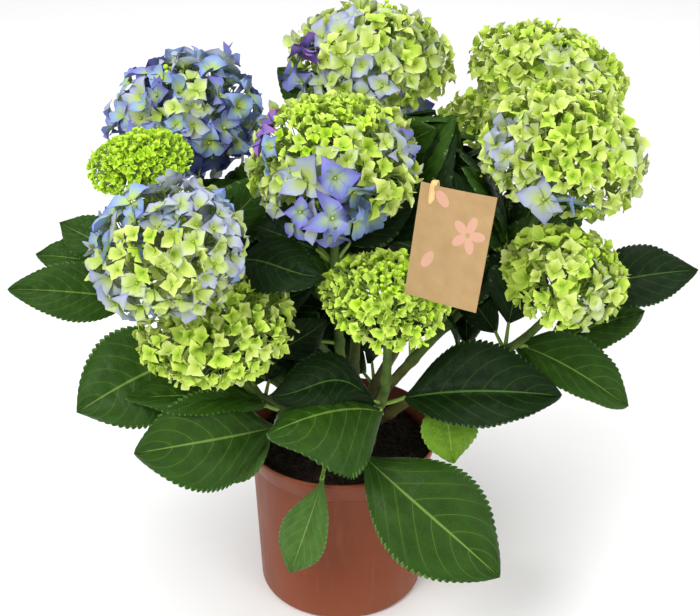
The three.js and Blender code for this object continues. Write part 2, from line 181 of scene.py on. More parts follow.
def apply_modifiers(piece):
    select_only(piece)
    for modifier in list(piece.modifiers):
        bpy.ops.object.modifier_apply(modifier=modifier.name)


pot_low, pot_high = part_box("pot")
rim_radius = (pot_high.x - pot_low.x) / 2
pot_height = pot_high.z
collar_height = 0.023
collar_foot_radius = rim_radius - 0.006
body_top_radius = rim_radius - 0.0084
body_foot_radius = rim_radius - 0.0146
wall = 0.0019
foot_round = 0.006
floor_thickness = 0.0026
rim_round = 0.0009
drain_holes, drain_radius, drain_circle = 6, 0.005, 0.048
foot_notches, notch_width, notch_height = 4, 0.028, 0.0034
pot_sides = 112

pot_outline = [
    (0.0, 0.0),
    (body_foot_radius - foot_round, 0.0),
    *[
        (
            body_foot_radius - foot_round * (1 - math.sin(turn)),
            foot_round * (1 - math.cos(turn)),
        )
        for turn in np.linspace(0.2, math.pi / 2, 6)
    ],
    (body_top_radius, pot_height - collar_height - 0.0008),
    (body_top_radius + 0.0006, pot_height - collar_height),
    (collar_foot_radius - 0.0007, pot_height - collar_height),
    (collar_foot_radius, pot_height - collar_height + 0.0008),
    (rim_radius - rim_round, pot_height - 0.0042),
    (rim_radius, pot_height - 0.0034),
    *[
        (
            rim_radius - rim_round * (1 - math.cos(turn)),
            pot_height - rim_round * (1 - math.sin(turn)),
        )
        for turn in np.linspace(0.2, math.pi - 0.3, 6)
    ],
    (collar_foot_radius - wall, pot_height - collar_height + wall),
    (body_top_radius - wall, pot_height - collar_height - wall),
    (body_foot_radius - wall, foot_round + wall),
    (body_foot_radius - foot_round, floor_thickness),
    (0.0, floor_thickness),
]
pot_mesh = bpy.data.meshes.new("pot_shell")
pot_mesh.from_pydata(
    [(radius, 0.0, z) for radius, z in pot_outline],
    [(i, i + 1) for i in range(len(pot_outline) - 1)],
    [],
)
pot = bpy.data.objects.new("pot_shell", pot_mesh)
bpy.context.collection.objects.link(pot)
select_only(pot)
bpy.ops.object.mode_set(mode="EDIT")
bpy.ops.mesh.select_all(action="SELECT")
bpy.ops.mesh.spin(steps=pot_sides, angle=2 * math.pi, center=(0, 0, 0), axis=(0, 0, 1))
bpy.ops.mesh.select_all(action="SELECT")
bpy.ops.mesh.remove_doubles(threshold=0.00002)
bpy.ops.mesh.normals_make_consistent(inside=False)
bpy.ops.object.mode_set(mode="OBJECT")
cutters = []
for hole in range(drain_holes):
    turn = (hole + 0.5) * math.pi / 3
    bpy.ops.mesh.primitive_cylinder_add(
        vertices=24,
        radius=drain_radius,
        depth=0.02,
        location=(drain_circle * math.cos(turn), drain_circle * math.sin(turn), 0.0),
    )
    cutters.append(bpy.context.object)
for notch in range(foot_notches):
    turn = notch * math.pi / 2 - 0.05
    bpy.ops.mesh.primitive_cube_add(
        size=1.0,
        location=(body_foot_radius * math.cos(turn), body_foot_radius * math.sin(turn), 0.0),
        rotation=(0.0, 0.0, turn),
        scale=(2 * foot_round, notch_width, 2 * notch_height),
    )
    cutters.append(bpy.context.object)
for cutter in cutters:
    cut = pot.modifiers.new("cut", "BOOLEAN")
    cut.object = cutter
    cut.operation = "DIFFERENCE"
    cut.solver = "EXACT"
apply_modifiers(pot)
for cutter in cutters:
    bpy.data.objects.remove(cutter)
select_only(pot)
bpy.ops.object.shade_smooth_by_angle(angle=math.radians(32))

pot_plastic, tree, shader = plain_material("pot_plastic", 0.42, 0.24)
where = node_in(tree, "TexCoord").outputs["Object"]
cloud, grain = mottled(tree, where, 14.0, 900.0)
height_up = node_in(tree, "SeparateXYZ", {0: where}).outputs["Z"]
tone = ramp(tree, cloud, [(0.3, "73351a"), (0.72, "803e1e")])
tone = mixed(tree, remapped(tree, height_up, 0.0, 0.05, 0.22, 0.0), tone, colour("a8694a"))
streaks = noise(tree, scaled(tree, where, (26, 26, 3)), 3.0, 5.0)
tone = mixed(tree, remapped(tree, streaks, 0.56, 0.72, 0.0, 0.16), tone, colour("b07a5c"))
tree.links.new(remapped(tree, streaks, 0.3, 0.8, 0.36, 0.58), shader.inputs["Roughness"])
dress(tree, shader, tone, grain, 0.12, 0.0004)
pot.data.materials.append(pot_plastic)
finish_piece(pot, "pot_plastic", "pot")


# ---- Soil ----
# Black moist peat, pressed to a low uneven surface a little under the rim, with crumbs lying on it.
# The surface is a disc of rings, and the crumbs are small balls joined to it.
def joined(name, parts, material, smooth=True):
    """One object from many (points, quads, uv) parts, with the uv in a map named OFBake."""
    points = np.concatenate([part[0] for part in parts])
    starts = np.cumsum([0] + [len(part[0]) for part in parts[:-1]])
    quads = np.concatenate([part[1] + start for part, start in zip(parts, starts)])
    uv = np.concatenate([part[2] for part in parts])
    mesh = bpy.data.meshes.new(name)
    mesh.vertices.add(len(points))
    mesh.vertices.foreach_set("co", points.astype(np.float32).ravel())
    mesh.loops.add(quads.size)
    mesh.loops.foreach_set("vertex_index", quads.astype(np.int32).ravel())
    mesh.polygons.add(len(quads))
    mesh.polygons.foreach_set("loop_start", np.arange(0, quads.size, 4, dtype=np.int32))
    mesh.update(calc_edges=True)
    layer = mesh.uv_layers.new(name="OFBake")
    layer.data.foreach_set("uv", uv[quads.ravel()].astype(np.float32).ravel())
    mesh.materials.append(material)
    if smooth:
        mesh.polygons.foreach_set("use_smooth", np.ones(len(quads), dtype=bool))
    mesh.validate()
    piece = bpy.data.objects.new(name, mesh)
    bpy.context.collection.objects.link(piece)
    return piece


def grid_quads(rows, columns):
    """The quads of a grid of points, row by row."""
    corner = np.arange(rows * (columns + 1)).reshape(rows, columns + 1)[:, :-1].ravel()
    return np.stack([corner, corner + 1, corner + columns + 2, corner + columns + 1], 1)


def unit(vector):
    vector = np.asarray(vector, float)
    return vector / np.maximum(np.linalg.norm(vector, axis=-1, keepdims=True), 1e-12)


def ring_quads(rings, sides):
    """The quads between neighbouring rings of points."""
    quads = []
    for ring in range(rings - 1):
        for step in range(sides):
            a, b = ring * sides + step, ring * sides + (step + 1) % sides
            quads.append((a, b, b + sides, a + sides))
    return quads


def tube(path, radii, sides, cell=(0.05, 0.95)):
    """A closed tube along a path of points, with a radius at each."""
    path = np.asarray(path, float)
    radii = np.broadcast_to(radii, len(path))
    along = unit(np.gradient(path, axis=0))
    side = np.cross(along[0], [0.31, 0.17, 0.93] if abs(along[0][2]) < 0.8 else [0.9, 0.3, 0.1])
    rings = []
    turn = np.linspace(0, 2 * math.pi, sides, endpoint=False)
    for centre, forward, radius in zip(path, along, radii):
        side = unit(side - forward * np.dot(side, forward))
        other = np.cross(forward, side)
        rings.append(centre + radius * (np.outer(np.cos(turn), side) + np.outer(np.sin(turn), other)))
    points = np.concatenate(rings)
    quads = ring_quads(len(path), sides)
    last = (len(path) - 1) * sides
    for step in range(sides // 2 - 1):
        low, high = (step + 1, sides - 2 - step), (step, sides - 1 - step)
        quads.append((high[0], high[1], low[1], low[0]))
        quads.append((last + high[0], last + low[0], last + low[1], last + high[1]))
    up = np.repeat(np.linspace(0.02, 0.98, len(path)), sides)
    around = np.tile(np.abs(np.linspace(-1, 1, sides, endpoint=False)), len(path))
    uv = np.stack([cell[0] + (cell[1] - cell[0]) * around, up], 1)
    return points, np.array(quads), uv


def cube_ball():
    """A small ball of 24 quads, as unit points and faces."""
    bpy.ops.mesh.primitive_cube_add(size=1.0)
    ball = bpy.context.object
    bpy.ops.object.mode_set(mode="EDIT")
    bpy.ops.mesh.select_all(action="SELECT")
    bpy.ops.mesh.subdivide(number_cuts=1)
    bpy.ops.object.mode_set(mode="OBJECT")
    points = unit([v.co[:] for v in ball.data.vertices])
    quads = np.array([p.vertices[:] for p in ball.data.polygons])
    bpy.data.objects.remove(ball)
    return points, quads


ball_points, ball_quads = cube_ball()
ball_uv = np.stack([0.5 + 0.45 * ball_points[:, 0], 0.5 + 0.45 * ball_points[:, 2]], 1)

soil_low, soil_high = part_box("soil")
soil_radius = (soil_high.x - soil_low.x) / 2
soil_top = soil_high.z - 0.0018
rng = np.random.default_rng(11)
ring_share = np.linspace(0.004, 1.0, 46)
turns = np.linspace(0, 2 * math.pi, 97)
radius_grid, turn_grid = np.meshgrid(ring_share * (soil_radius - 0.0012), turns, indexing="ij")
x_grid = radius_grid * np.cos(turn_grid)
y_grid = radius_grid * np.sin(turn_grid)


def crumbly(x, y):
    """The soil's unevenness: low swells and lumps of a few sizes."""
    return (
        0.0016 * np.sin(52 * x + 1.2) * np.sin(47 * y + 0.4)
        + 0.0010 * np.sin(140 * x + 60 * y) * np.sin(120 * y - 70 * x + 2)
        + 0.0006 * np.sin(330 * x - 170 * y + 1) * np.sin(290 * y + 210 * x)
        + 0.0004 * np.sin(810 * x + 390 * y) * np.sin(770 * y - 410 * x + 0.7)
    )


soil_level = soil_top + crumbly(x_grid, y_grid) - 0.003 * ring_share[:, None] ** 14
soil_points = np.stack([x_grid, y_grid, soil_level], 2).reshape(-1, 3)
soil_uv = np.stack([0.5 + x_grid / soil_radius * 0.49, 0.5 + y_grid / soil_radius * 0.49], 2).reshape(-1, 2)
soil_parts = [(soil_points, grid_quads(45, 96), soil_uv)]
for _ in range(1500):
    reach = soil_radius * 0.97 * math.sqrt(rng.uniform(0.02, 1.0))
    turn = rng.uniform(0, 2 * math.pi)
    x, y = reach * math.cos(turn), reach * math.sin(turn)
    size = 0.0007 + 0.0019 * rng.random() ** 2.5
    squash = np.array([1.0, rng.uniform(0.6, 1.0), rng.uniform(0.5, 0.9)])
    crumb = ball_points * squash * size * (1 + 0.25 * rng.standard_normal((len(ball_points), 1)) * 0.6)
    crumb = crumb + [x, y, soil_top + crumbly(x, y) + size * 0.3]
    crumb_uv = ball_uv * 0.04 + [0.5 + x / soil_radius * 0.46, 0.5 + y / soil_radius * 0.46]
    soil_parts.append((crumb, ball_quads, crumb_uv))
soil_ends = [(0, 0, soil_low.z + 0.001), (0, 0, soil_top - 0.002)]
soil_parts.append(tube(soil_ends, [body_foot_radius - 0.008, soil_radius - 0.004], 48))
peat, tree, shader = plain_material("peat", 0.95, 0.25)
where = node_in(tree, "UVMap", uv_map="OFBake").outputs["UV"]
cloud, grain = mottled(tree, where, 22.0, 260.0)
tone = ramp(tree, cloud, [(0.3, "120e0b"), (0.55, "241b14"), (0.78, "3d2f22")])
dress(tree, shader, tone, grain, 0.5, 0.0008)
soil = joined("soil_surface", soil_parts, peat)
finish_piece(soil, "peat_soil", "soil")


# ---- Crown base and stems ----
# Each stem is a ripening green shoot, brownish and corky low down and speckled higher up, with a swollen
# joint wherever a pair of leaves leaves it. All rise from one short woody base with a flare at the soil.
def node_mesh(name):
    """A CAD node's points and triangles."""
    mesh = nodes[name].data
    points = np.zeros(len(mesh.vertices) * 3)
    mesh.vertices.foreach_get("co", points)
    mesh.calc_loop_triangles()
    triangles = np.zeros(len(mesh.loop_triangles) * 3, dtype=np.int32)
    mesh.loop_triangles.foreach_get("vertices", triangles)
    return points.reshape(-1, 3), triangles.reshape(-1, 3)


def section(points, triangles, direction, level):
    """The points where a plane across a direction cuts a mesh's edges."""
    heights = points @ direction - level
    found = []
    for a, b in ((0, 1), (1, 2), (2, 0)):
        start, end = triangles[:, a], triangles[:, b]
        crossing = (heights[start] > 0) != (heights[end] > 0)
        start, end = start[crossing], end[crossing]
        share = heights[start] / (heights[start] - heights[end])
        found.append(points[start] + (points[end] - points[start]) * share[:, None])
    return np.concatenate(found)


def centreline(name, stations):
    """A stem's centre points, from sections across the line between its ends."""
    points, triangles = node_mesh(name)
    low = points[points[:, 2] < points[:, 2].min() + 0.006].mean(0)
    high = points[points[:, 2] > points[:, 2].max() - 0.003].mean(0)
    direction = unit(high - low)
    levels = np.linspace((points @ direction).min() + 0.002, (points @ direction).max() - 0.002, stations)
    centres = []
    for level in levels:
        cut = section(points, triangles, direction, level)
        if len(cut) < 3:
            continue
        centres.append((cut.min(0) + cut.max(0)) / 2)
    return np.array(centres)


def smooth_path(path, count):
    """The same path with evenly spaced points, smoothed by a low-order fit in each coordinate."""
    steps = np.linalg.norm(np.diff(path, axis=0), axis=1)
    share = np.concatenate([[0], np.cumsum(steps)]) / steps.sum()
    even = np.linspace(0, 1, count)
    degree = 5 if len(path) > 8 else 2
    return np.stack([np.polyval(np.polyfit(share, path[:, i], degree), even) for i in range(3)], 1)


head_names = sorted(name[5:] for name in nodes if name.startswith("head_"))
joint_spacing = 0.046
stem_stations = 60
stem_paths = {}
stem_joints = {}
bark, tree, shader = plain_material("stem_bark", 0.55, 0.2)
where = node_in(tree, "TexCoord").outputs["Object"]
cloud, grain = mottled(tree, where, 60.0, 900.0)
height_up = node_in(tree, "SeparateXYZ", {0: where}).outputs["Z"]
green = ramp(tree, cloud, [(0.3, "324a18"), (0.7, "587230")])
brown = ramp(tree, cloud, [(0.3, "4a3624"), (0.7, "74603c")])
tone = mixed(tree, remapped(tree, height_up, 0.17, 0.27, 1.0, 0.0), green, brown)
fleck_place = scaled(tree, where, (1, 1, 0.45))
flecks = node_in(tree, "TexVoronoi", {"Vector": fleck_place, "Scale": 520.0}).outputs["Distance"]
tone = mixed(tree, remapped(tree, flecks, 0.1, 0.26, 0.75, 0.0), tone, colour("4b3328"))
dress(tree, shader, tone, grain, 0.35, 0.0006)
for name in head_names:
    path = smooth_path(centreline("stem_" + name, 16), stem_stations)
    length = np.linalg.norm(np.diff(path, axis=0), axis=1).sum()
    along = np.linspace(0, length, stem_stations)
    joints = np.arange(0.03, length - 0.03, joint_spacing)
    thick = np.linspace(0.0053, 0.0036, stem_stations)
    for joint in joints:
        thick = thick + 0.0013 * np.exp(-(((along - joint) / 0.0042) ** 2))
    thick = thick * (1 + 0.03 * np.sin(along * 900 + len(name)))
    stem_paths[name] = path
    stem_joints[name] = [int(joint / length * (stem_stations - 1)) for joint in joints]
    piece = joined("stem_" + name + "_bark", [tube(path, thick, 14)], bark)
    finish_piece(piece, "green_stem", "stem_" + name)

woody, tree, shader = plain_material("woody_base", 0.85, 0.3)
where = node_in(tree, "TexCoord").outputs["Object"]
ridges = noise(tree, scaled(tree, where, (1, 1, 0.2)), 240.0, 4.0)
tone = ramp(tree, ridges, [(0.3, "4a3927"), (0.55, "7a6244"), (0.75, "a08a63")])
dress(tree, shader, tone, ridges, 0.7, 0.0015)
base_low, base_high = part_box("crown_base")
base_middle = (base_low + base_high) / 2
base_foot = (base_high.x - base_low.x) / 2
base_sides, base_levels = 40, 15
base_rings = []
ring_turn = np.linspace(0, 2 * math.pi, base_sides, endpoint=False)
for share in np.linspace(0, 1, base_levels):
    radius = base_foot * (0.62 + 0.34 * (1 - share) ** 2.2) * (1 if share < 0.9 else 1 - (share - 0.9) * 6)
    reach = radius * (1 + 0.09 * np.sin(3 * ring_turn + 0.6) + 0.05 * np.sin(7 * ring_turn + 9 * share))
    level = np.full(base_sides, base_low.z + share * (base_high.z - base_low.z))
    across = base_middle.x + reach * np.cos(ring_turn)
    base_rings.append(np.stack([across, base_middle.y + reach * np.sin(ring_turn), level], 1))
closed = ring_quads(base_levels, base_sides)
top = (base_levels - 1) * base_sides
closed += [(top + j, top + j + 1, top + 38 - j, top + 39 - j) for j in range(19)]
closed += [(j + 1, j, 39 - j, 38 - j) for j in range(19)]
base_points = np.concatenate(base_rings)
base_along = np.repeat(np.linspace(0.02, 0.98, base_levels), base_sides)
base_uv = np.stack([np.tile(ring_turn / 6.4 + 0.01, base_levels), base_along], 1)
crown_base = joined("woody_base", [(base_points, np.array(closed), base_uv)], woody)
finish_piece(crown_base, "woody_bark", "crown_base")


# ---- Leaves: blade, teeth and veins ----
# A hydrangea leaf is a broad toothed blade, quilted between its side veins, glossy green above and greyer
# below. Each outlying leaf keeps the place, size, fold and arch of its own CAD blade, on a round stalk.
leaf_tints = ("bright", "deep", "fresh", "pale")
leaf_thickness = 0.0006
side_veins = 8
vein_sweep = 0.34
vein_curve = 1.25


def outline(share):
    """Half the width of a blade at each share of its length, as a part of its widest."""
    share = np.clip(share, 0, 1)
    return np.maximum(np.sin(np.pi * share**0.92), 0) ** (0.93 - 0.26 * share) * (1 - 0.26 * share**6)


def blade(rib, side, up, half_width, fold, tint, rng, teeth, columns, relief=0.0022, spoon=1.0):
    """One leaf blade as parts for joined(): a toothed top sheet and an under sheet, met at the margin."""
    stations = teeth * 3
    share = np.linspace(0, 1, stations + 1)
    at = np.linspace(0, 1, len(rib))
    rib = np.stack([np.interp(share, at, rib[:, i]) for i in range(3)], 1)
    forward = unit(np.gradient(rib, axis=0))
    twist = rng.uniform(-0.2, 0.2)
    side = unit(side - forward * (forward @ side)[:, None])
    up = unit(np.cross(side, forward))
    turn = (twist * share**1.5)[:, None]
    side, up = side * np.cos(turn) + up * np.sin(turn), up * np.cos(turn) - side * np.sin(turn)
    across = np.sin(np.linspace(-1, 1, columns + 1) * 1.5) / math.sin(1.5)
    width = half_width * outline(share**spoon)
    cut = np.array([0.0, 0.72, 1.0])[np.arange(stations + 1) % 3]
    tooth = 0.05 * cut * np.minimum(1, 4 * (1 - share)) * np.minimum(1, 6 * share)
    reach = np.outer(width, across)
    margin = np.abs(across) > 0.999
    reach[:, margin] *= (1 + tooth)[:, None]
    lean = np.zeros_like(reach)
    lean[:, margin] = (tooth * half_width * 0.5)[:, None]
    phase = side_veins * (share[:, None] - vein_sweep * np.abs(across)[None, :] ** vein_curve)
    quilt = relief * np.abs(np.sin(np.pi * phase)) ** 0.7 * (1 - np.abs(across)[None, :] ** 5)
    quilt *= np.sin(np.pi * np.clip(share * 0.94 + 0.03, 0, 1))[:, None] ** 0.5
    quilt *= np.clip(np.abs(across) / 0.15, 0, 1)[None, :]
    groove = -relief * 0.9 * np.exp(-((across[None, :] / 0.09) ** 2)) * np.ones_like(quilt)
    start, beat = rng.uniform(0, 6.28, 2)
    wave = np.sin(share[:, None] * 9 + start + across[None, :] * 1.1)
    wave = 0.075 * half_width * wave * across[None, :] ** 2
    wave += 0.02 * half_width * np.sin(share[:, None] * 23 + beat) * np.abs(across[None, :]) ** 3
    droop = -0.2 * half_width * across[None, :] ** 2 * np.abs(across[None, :])
    lift = np.abs(reach) * fold + quilt + groove + wave + droop * (1 - share[:, None] * 0.4)
    middle = (
        rib[:, None, :]
        + side[:, None, :] * reach[:, :, None]
        + up[:, None, :] * lift[:, :, None]
        + forward[:, None, :] * lean[:, :, None]
    )
    half_thick = leaf_thickness / 2 * (1 - np.abs(across) ** 6)
    shift = up[:, None, :] * half_thick[None, :, None]
    top = (middle + shift).reshape(-1, 3)
    under = (middle - shift).reshape(-1, 3)
    quads = grid_quads(stations, columns)
    band = leaf_tints.index(tint)
    u = np.broadcast_to(0.25 + 0.235 * across[None, :], reach.shape).ravel()
    v = np.broadcast_to((band + 0.03 + 0.94 * share[:, None]) / len(leaf_tints), reach.shape).ravel()
    return [
        (top, quads[:, ::-1], np.stack([u, v], 1)),
        (under, quads, np.stack([u + 0.5, v], 1)),
    ]


def stalk(start, end, bend, thick, thin, sides=7, steps=9):
    """A round stalk from a stem joint to a blade, bowed by a vector at its middle."""
    share = np.linspace(0, 1, steps)[:, None]
    path = start + (end - start) * share + bend * 4 * share * (1 - share)
    return tube(path, np.linspace(thick, thin, steps), sides)


def leaf_colours():
    """The leaf material: four greens by band of the UV map, a paler underside, and veins drawn by the map."""
    material, tree, shader = plain_material("leaf_skin", 0.42, 0.13)
    map_point = node_in(tree, "SeparateXYZ", {0: node_in(tree, "UVMap", uv_map="OFBake").outputs["UV"]})
    u, v = map_point.outputs["X"], map_point.outputs["Y"]
    under = maths(tree, "GREATER_THAN", u, 0.5)
    half_u = maths(tree, "MODULO", u, 0.5)
    across = maths(tree, "ABSOLUTE", maths(tree, "MULTIPLY_ADD", half_u, 4.255, -1.064))
    along = maths(tree, "FRACT", maths(tree, "MULTIPLY", v, float(len(leaf_tints))))
    swept = maths(tree, "MULTIPLY", maths(tree, "POWER", across, vein_curve), vein_sweep)
    phase = maths(tree, "MULTIPLY", maths(tree, "SUBTRACT", along, swept), float(side_veins))
    off_vein = maths(tree, "SUBTRACT", maths(tree, "FRACT", phase), 0.5)
    nearness = maths(tree, "MULTIPLY", maths(tree, "ABSOLUTE", off_vein), 2.0)
    side_vein = maths(tree, "MULTIPLY", span(tree, nearness, 0.945, 0.995), span(tree, across, 1.0, 0.6))
    tapering = maths(tree, "MULTIPLY", across, maths(tree, "MULTIPLY_ADD", along, 0.6, 0.7))
    rib_vein = span(tree, tapering, 0.034, 0.012)
    halo = maths(tree, "MULTIPLY", span(tree, nearness, 0.45, 1.0), 0.35)
    cell_place = scaled(tree, node_in(tree, "CombineXYZ", {0: half_u, 1: along}).outputs[0], (110, 60, 1))
    cells = node_in(tree, "TexVoronoi", {"Vector": cell_place, "Scale": 1.0}, feature="DISTANCE_TO_EDGE")
    net_line = span(tree, cells.outputs["Distance"], 0.16, 0.02)
    blotch = noise(tree, cell_place, 0.12, 3.0)
    stops = [i / len(leaf_tints) for i in range(len(leaf_tints))]

    def banded(*codes):
        return ramp(tree, v, list(zip(stops, codes)), "CONSTANT")

    dark = banded("213d0b", "0b1c05", "547a1b", "3a5a20")
    light = banded("315412", "16300b", "6e9425", "4f7430")
    vein = banded("7f9c48", "5d8236", "9ab850", "8ba35e")
    below = banded("57763b", "3f5c2e", "7e9a42", "6f8a52")
    tone = mixed(tree, maths(tree, "MULTIPLY", span(tree, blotch, 0.25, 0.8), 0.7), dark, light)
    tone = mixed(tree, halo, tone, light)
    tone = mixed(tree, maths(tree, "MULTIPLY", net_line, 0.3), tone, light)
    tone = mixed(tree, under, tone, below)
    tone = mixed(tree, maths(tree, "MULTIPLY", side_vein, 0.42), tone, vein)
    tone = mixed(tree, maths(tree, "MULTIPLY", rib_vein, 0.7), tone, vein)
    tree.links.new(remapped(tree, under, 0.0, 1.0, 0.38, 0.65), shader.inputs["Roughness"])
    net_depth = maths(tree, "MULTIPLY", net_line, -0.5)
    raised = maths(tree, "ADD", net_depth, maths(tree, "MULTIPLY", side_vein, -1.0))
    dress(tree, shader, tone, raised, 0.6, 0.0005)
    return material


leaf_skin = leaf_colours()
stalk_skin, tree, shader = plain_material("leaf_stalk", 0.45, 0.2)
where = node_in(tree, "TexCoord").outputs["Object"]
cloud, grain = mottled(tree, where, 40.0, 800.0)
dress(tree, shader, ramp(tree, cloud, [(0.3, "6f8f38"), (0.7, "8fae50")]), grain, 0.15, 0.0004)

all_stem_points = np.concatenate([stem_paths[name] for name in head_names])
leaf_names = sorted(name for name in nodes if name.startswith("leaf_"))
tint_of = {"leaf_spoon": "pale", "leaf_small_low": "pale", "leaf_lime_low": "fresh"}
for name in ("leaf_centre_dark", "leaf_right_long", "leaf_under_centre", "leaf_far_right"):
    tint_of[name] = "deep"
# How far a leaf's widest place is shifted towards its tip.
spoon_of = {"leaf_spoon": 1.5, "leaf_over_pot": 1.15, "leaf_quilted": 1.2}


def blade_of_node(name):
    """The foot of a CAD leaf's stalk, and its blade's rib, side, up, half width and fold."""
    points, triangles = node_mesh(name)
    corners = points[triangles]
    areas = np.linalg.norm(np.cross(corners[:, 1] - corners[:, 0], corners[:, 2] - corners[:, 0]), axis=1)
    middles = corners.mean(1)
    centroid = (middles * areas[:, None]).sum(0) / areas.sum()
    offsets = middles - centroid
    spread = (offsets * areas[:, None]).T @ offsets
    directions = np.linalg.eigh(spread)[1]
    up = directions[:, 0] if directions[2, 0] > 0 else -directions[:, 0]
    ends = points[[int(np.argmin(points @ directions[:, 2])), int(np.argmax(points @ directions[:, 2]))]]
    to_stem = [np.linalg.norm(all_stem_points - end, axis=1).min() for end in ends]
    foot, tip = ends if to_stem[0] < to_stem[1] else ends[::-1]
    axis = unit(tip - centroid)
    up = unit(up - axis * np.dot(up, axis))
    side = np.cross(axis, up)
    low, high = (foot - tip) @ axis, 0.0
    rib, half, folds, shares = [], [], [], []
    for level in np.linspace(low * 0.98, -0.004, 26):
        cut = section(points, triangles, axis, (tip @ axis) + level)
        if len(cut) < 3:
            continue
        sides = cut @ side
        if sides.max() - sides.min() < 0.011:
            continue
        middle = (sides.max() + sides.min()) / 2
        reach = (sides.max() - sides.min()) / 2
        heights = cut @ up
        core = np.abs(sides - middle) < 0.3 * reach
        edge = np.abs(sides - middle) > 0.8 * reach
        core = core if core.any() else np.full(len(cut), True)
        edge = edge if edge.any() else np.full(len(cut), True)
        rib_height = (heights[core].max() + heights[core].min()) / 2
        edge_height = (heights[edge].max() + heights[edge].min()) / 2
        rib.append(axis * (tip @ axis + level) + side * middle + up * rib_height)
        half.append(reach)
        folds.append((edge_height - rib_height) / reach)
        shares.append(level)
    if len(rib) < 5:
        bow = np.linspace(0, 1, 24)[:, None]
        start = foot + (tip - foot) * 0.3
        side = unit(np.cross(tip - start, [0.0, -0.87, 0.5]))
        up = np.cross(side, unit(tip - start))
        return foot, start + (tip - start) * bow + up * 0.02 * bow * (1 - bow), side, up, 0.022, 0.1
    rib, half, shares = np.array(rib), np.array(half), np.array(shares)
    start = shares[0] - 0.006
    share = (shares - start) / -start
    fitted = half / np.maximum(outline(share), 0.2)
    full = np.percentile(fitted[(share > 0.2) & (share < 0.85)], 70)
    path = np.concatenate([rib, tip[None, :]])
    even = np.linspace(0, 1, 24)
    known = np.append(share, 1.0)
    path = np.stack([np.polyval(np.polyfit(known, path[:, i], 3), even) for i in range(3)], 1)
    return foot, path, side, up, full, float(np.median(folds))


for count, name in enumerate(leaf_names):
    rng = np.random.default_rng(100 + count)
    foot, rib, side, up, half_width, fold = blade_of_node(name)
    tint = tint_of.get(name, "bright")
    teeth = int(np.clip(np.linalg.norm(rib[-1] - rib[0]) / 0.0048, 12, 30))
    parts = blade(rib, side, up, half_width, fold + 0.05, tint, rng, teeth, 12, spoon=spoon_of.get(name, 1.0))
    piece = joined(name + "_blade", parts, leaf_skin)
    finish_piece(piece, "leaf_fresh" if tint == "fresh" else "leaf_green", name)
    near = all_stem_points[int(np.argmin(np.linalg.norm(all_stem_points - foot, axis=1)))]
    root = near + (foot - near) * 0.4
    heading = unit(rib[1] - rib[0])
    sag = np.array([0.0, 0.0, -0.06 * np.linalg.norm(rib[0] - root)])
    petiole = stalk(root, rib[0] + heading * 0.004, sag, 0.0025, 0.0016)
    ridge = tube(rib[:-1] - up * 0.0036, np.linspace(0.0013, 0.0004, len(rib) - 1), 6)
    piece = joined(name + "_stalk", [petiole, ridge], stalk_skin)
    finish_piece(piece, "green_stem")


# ---- Flower heads ----
# Each mophead is a dome of four-petalled florets on thin branching stalks that spread from the stem's tip.
# Young florets are small and lime; as they ripen they grow and turn cream, lilac, blue and violet. The
# stages and patches of each head are given further down.
bloom_tints = ("bud", "lime", "cream", "lilac_tip", "lilac", "blue", "violet", "deep", "magenta", "stalk")
petal_rows = np.array([0.0, 0.18, 0.38, 0.58, 0.8, 1.0])
petal_half = np.array([0.13, 0.64, 0.98, 0.88, 0.40, 0.01])
petal_across = np.linspace(-1, 1, 5)
petal_quads = grid_quads(5, 4)


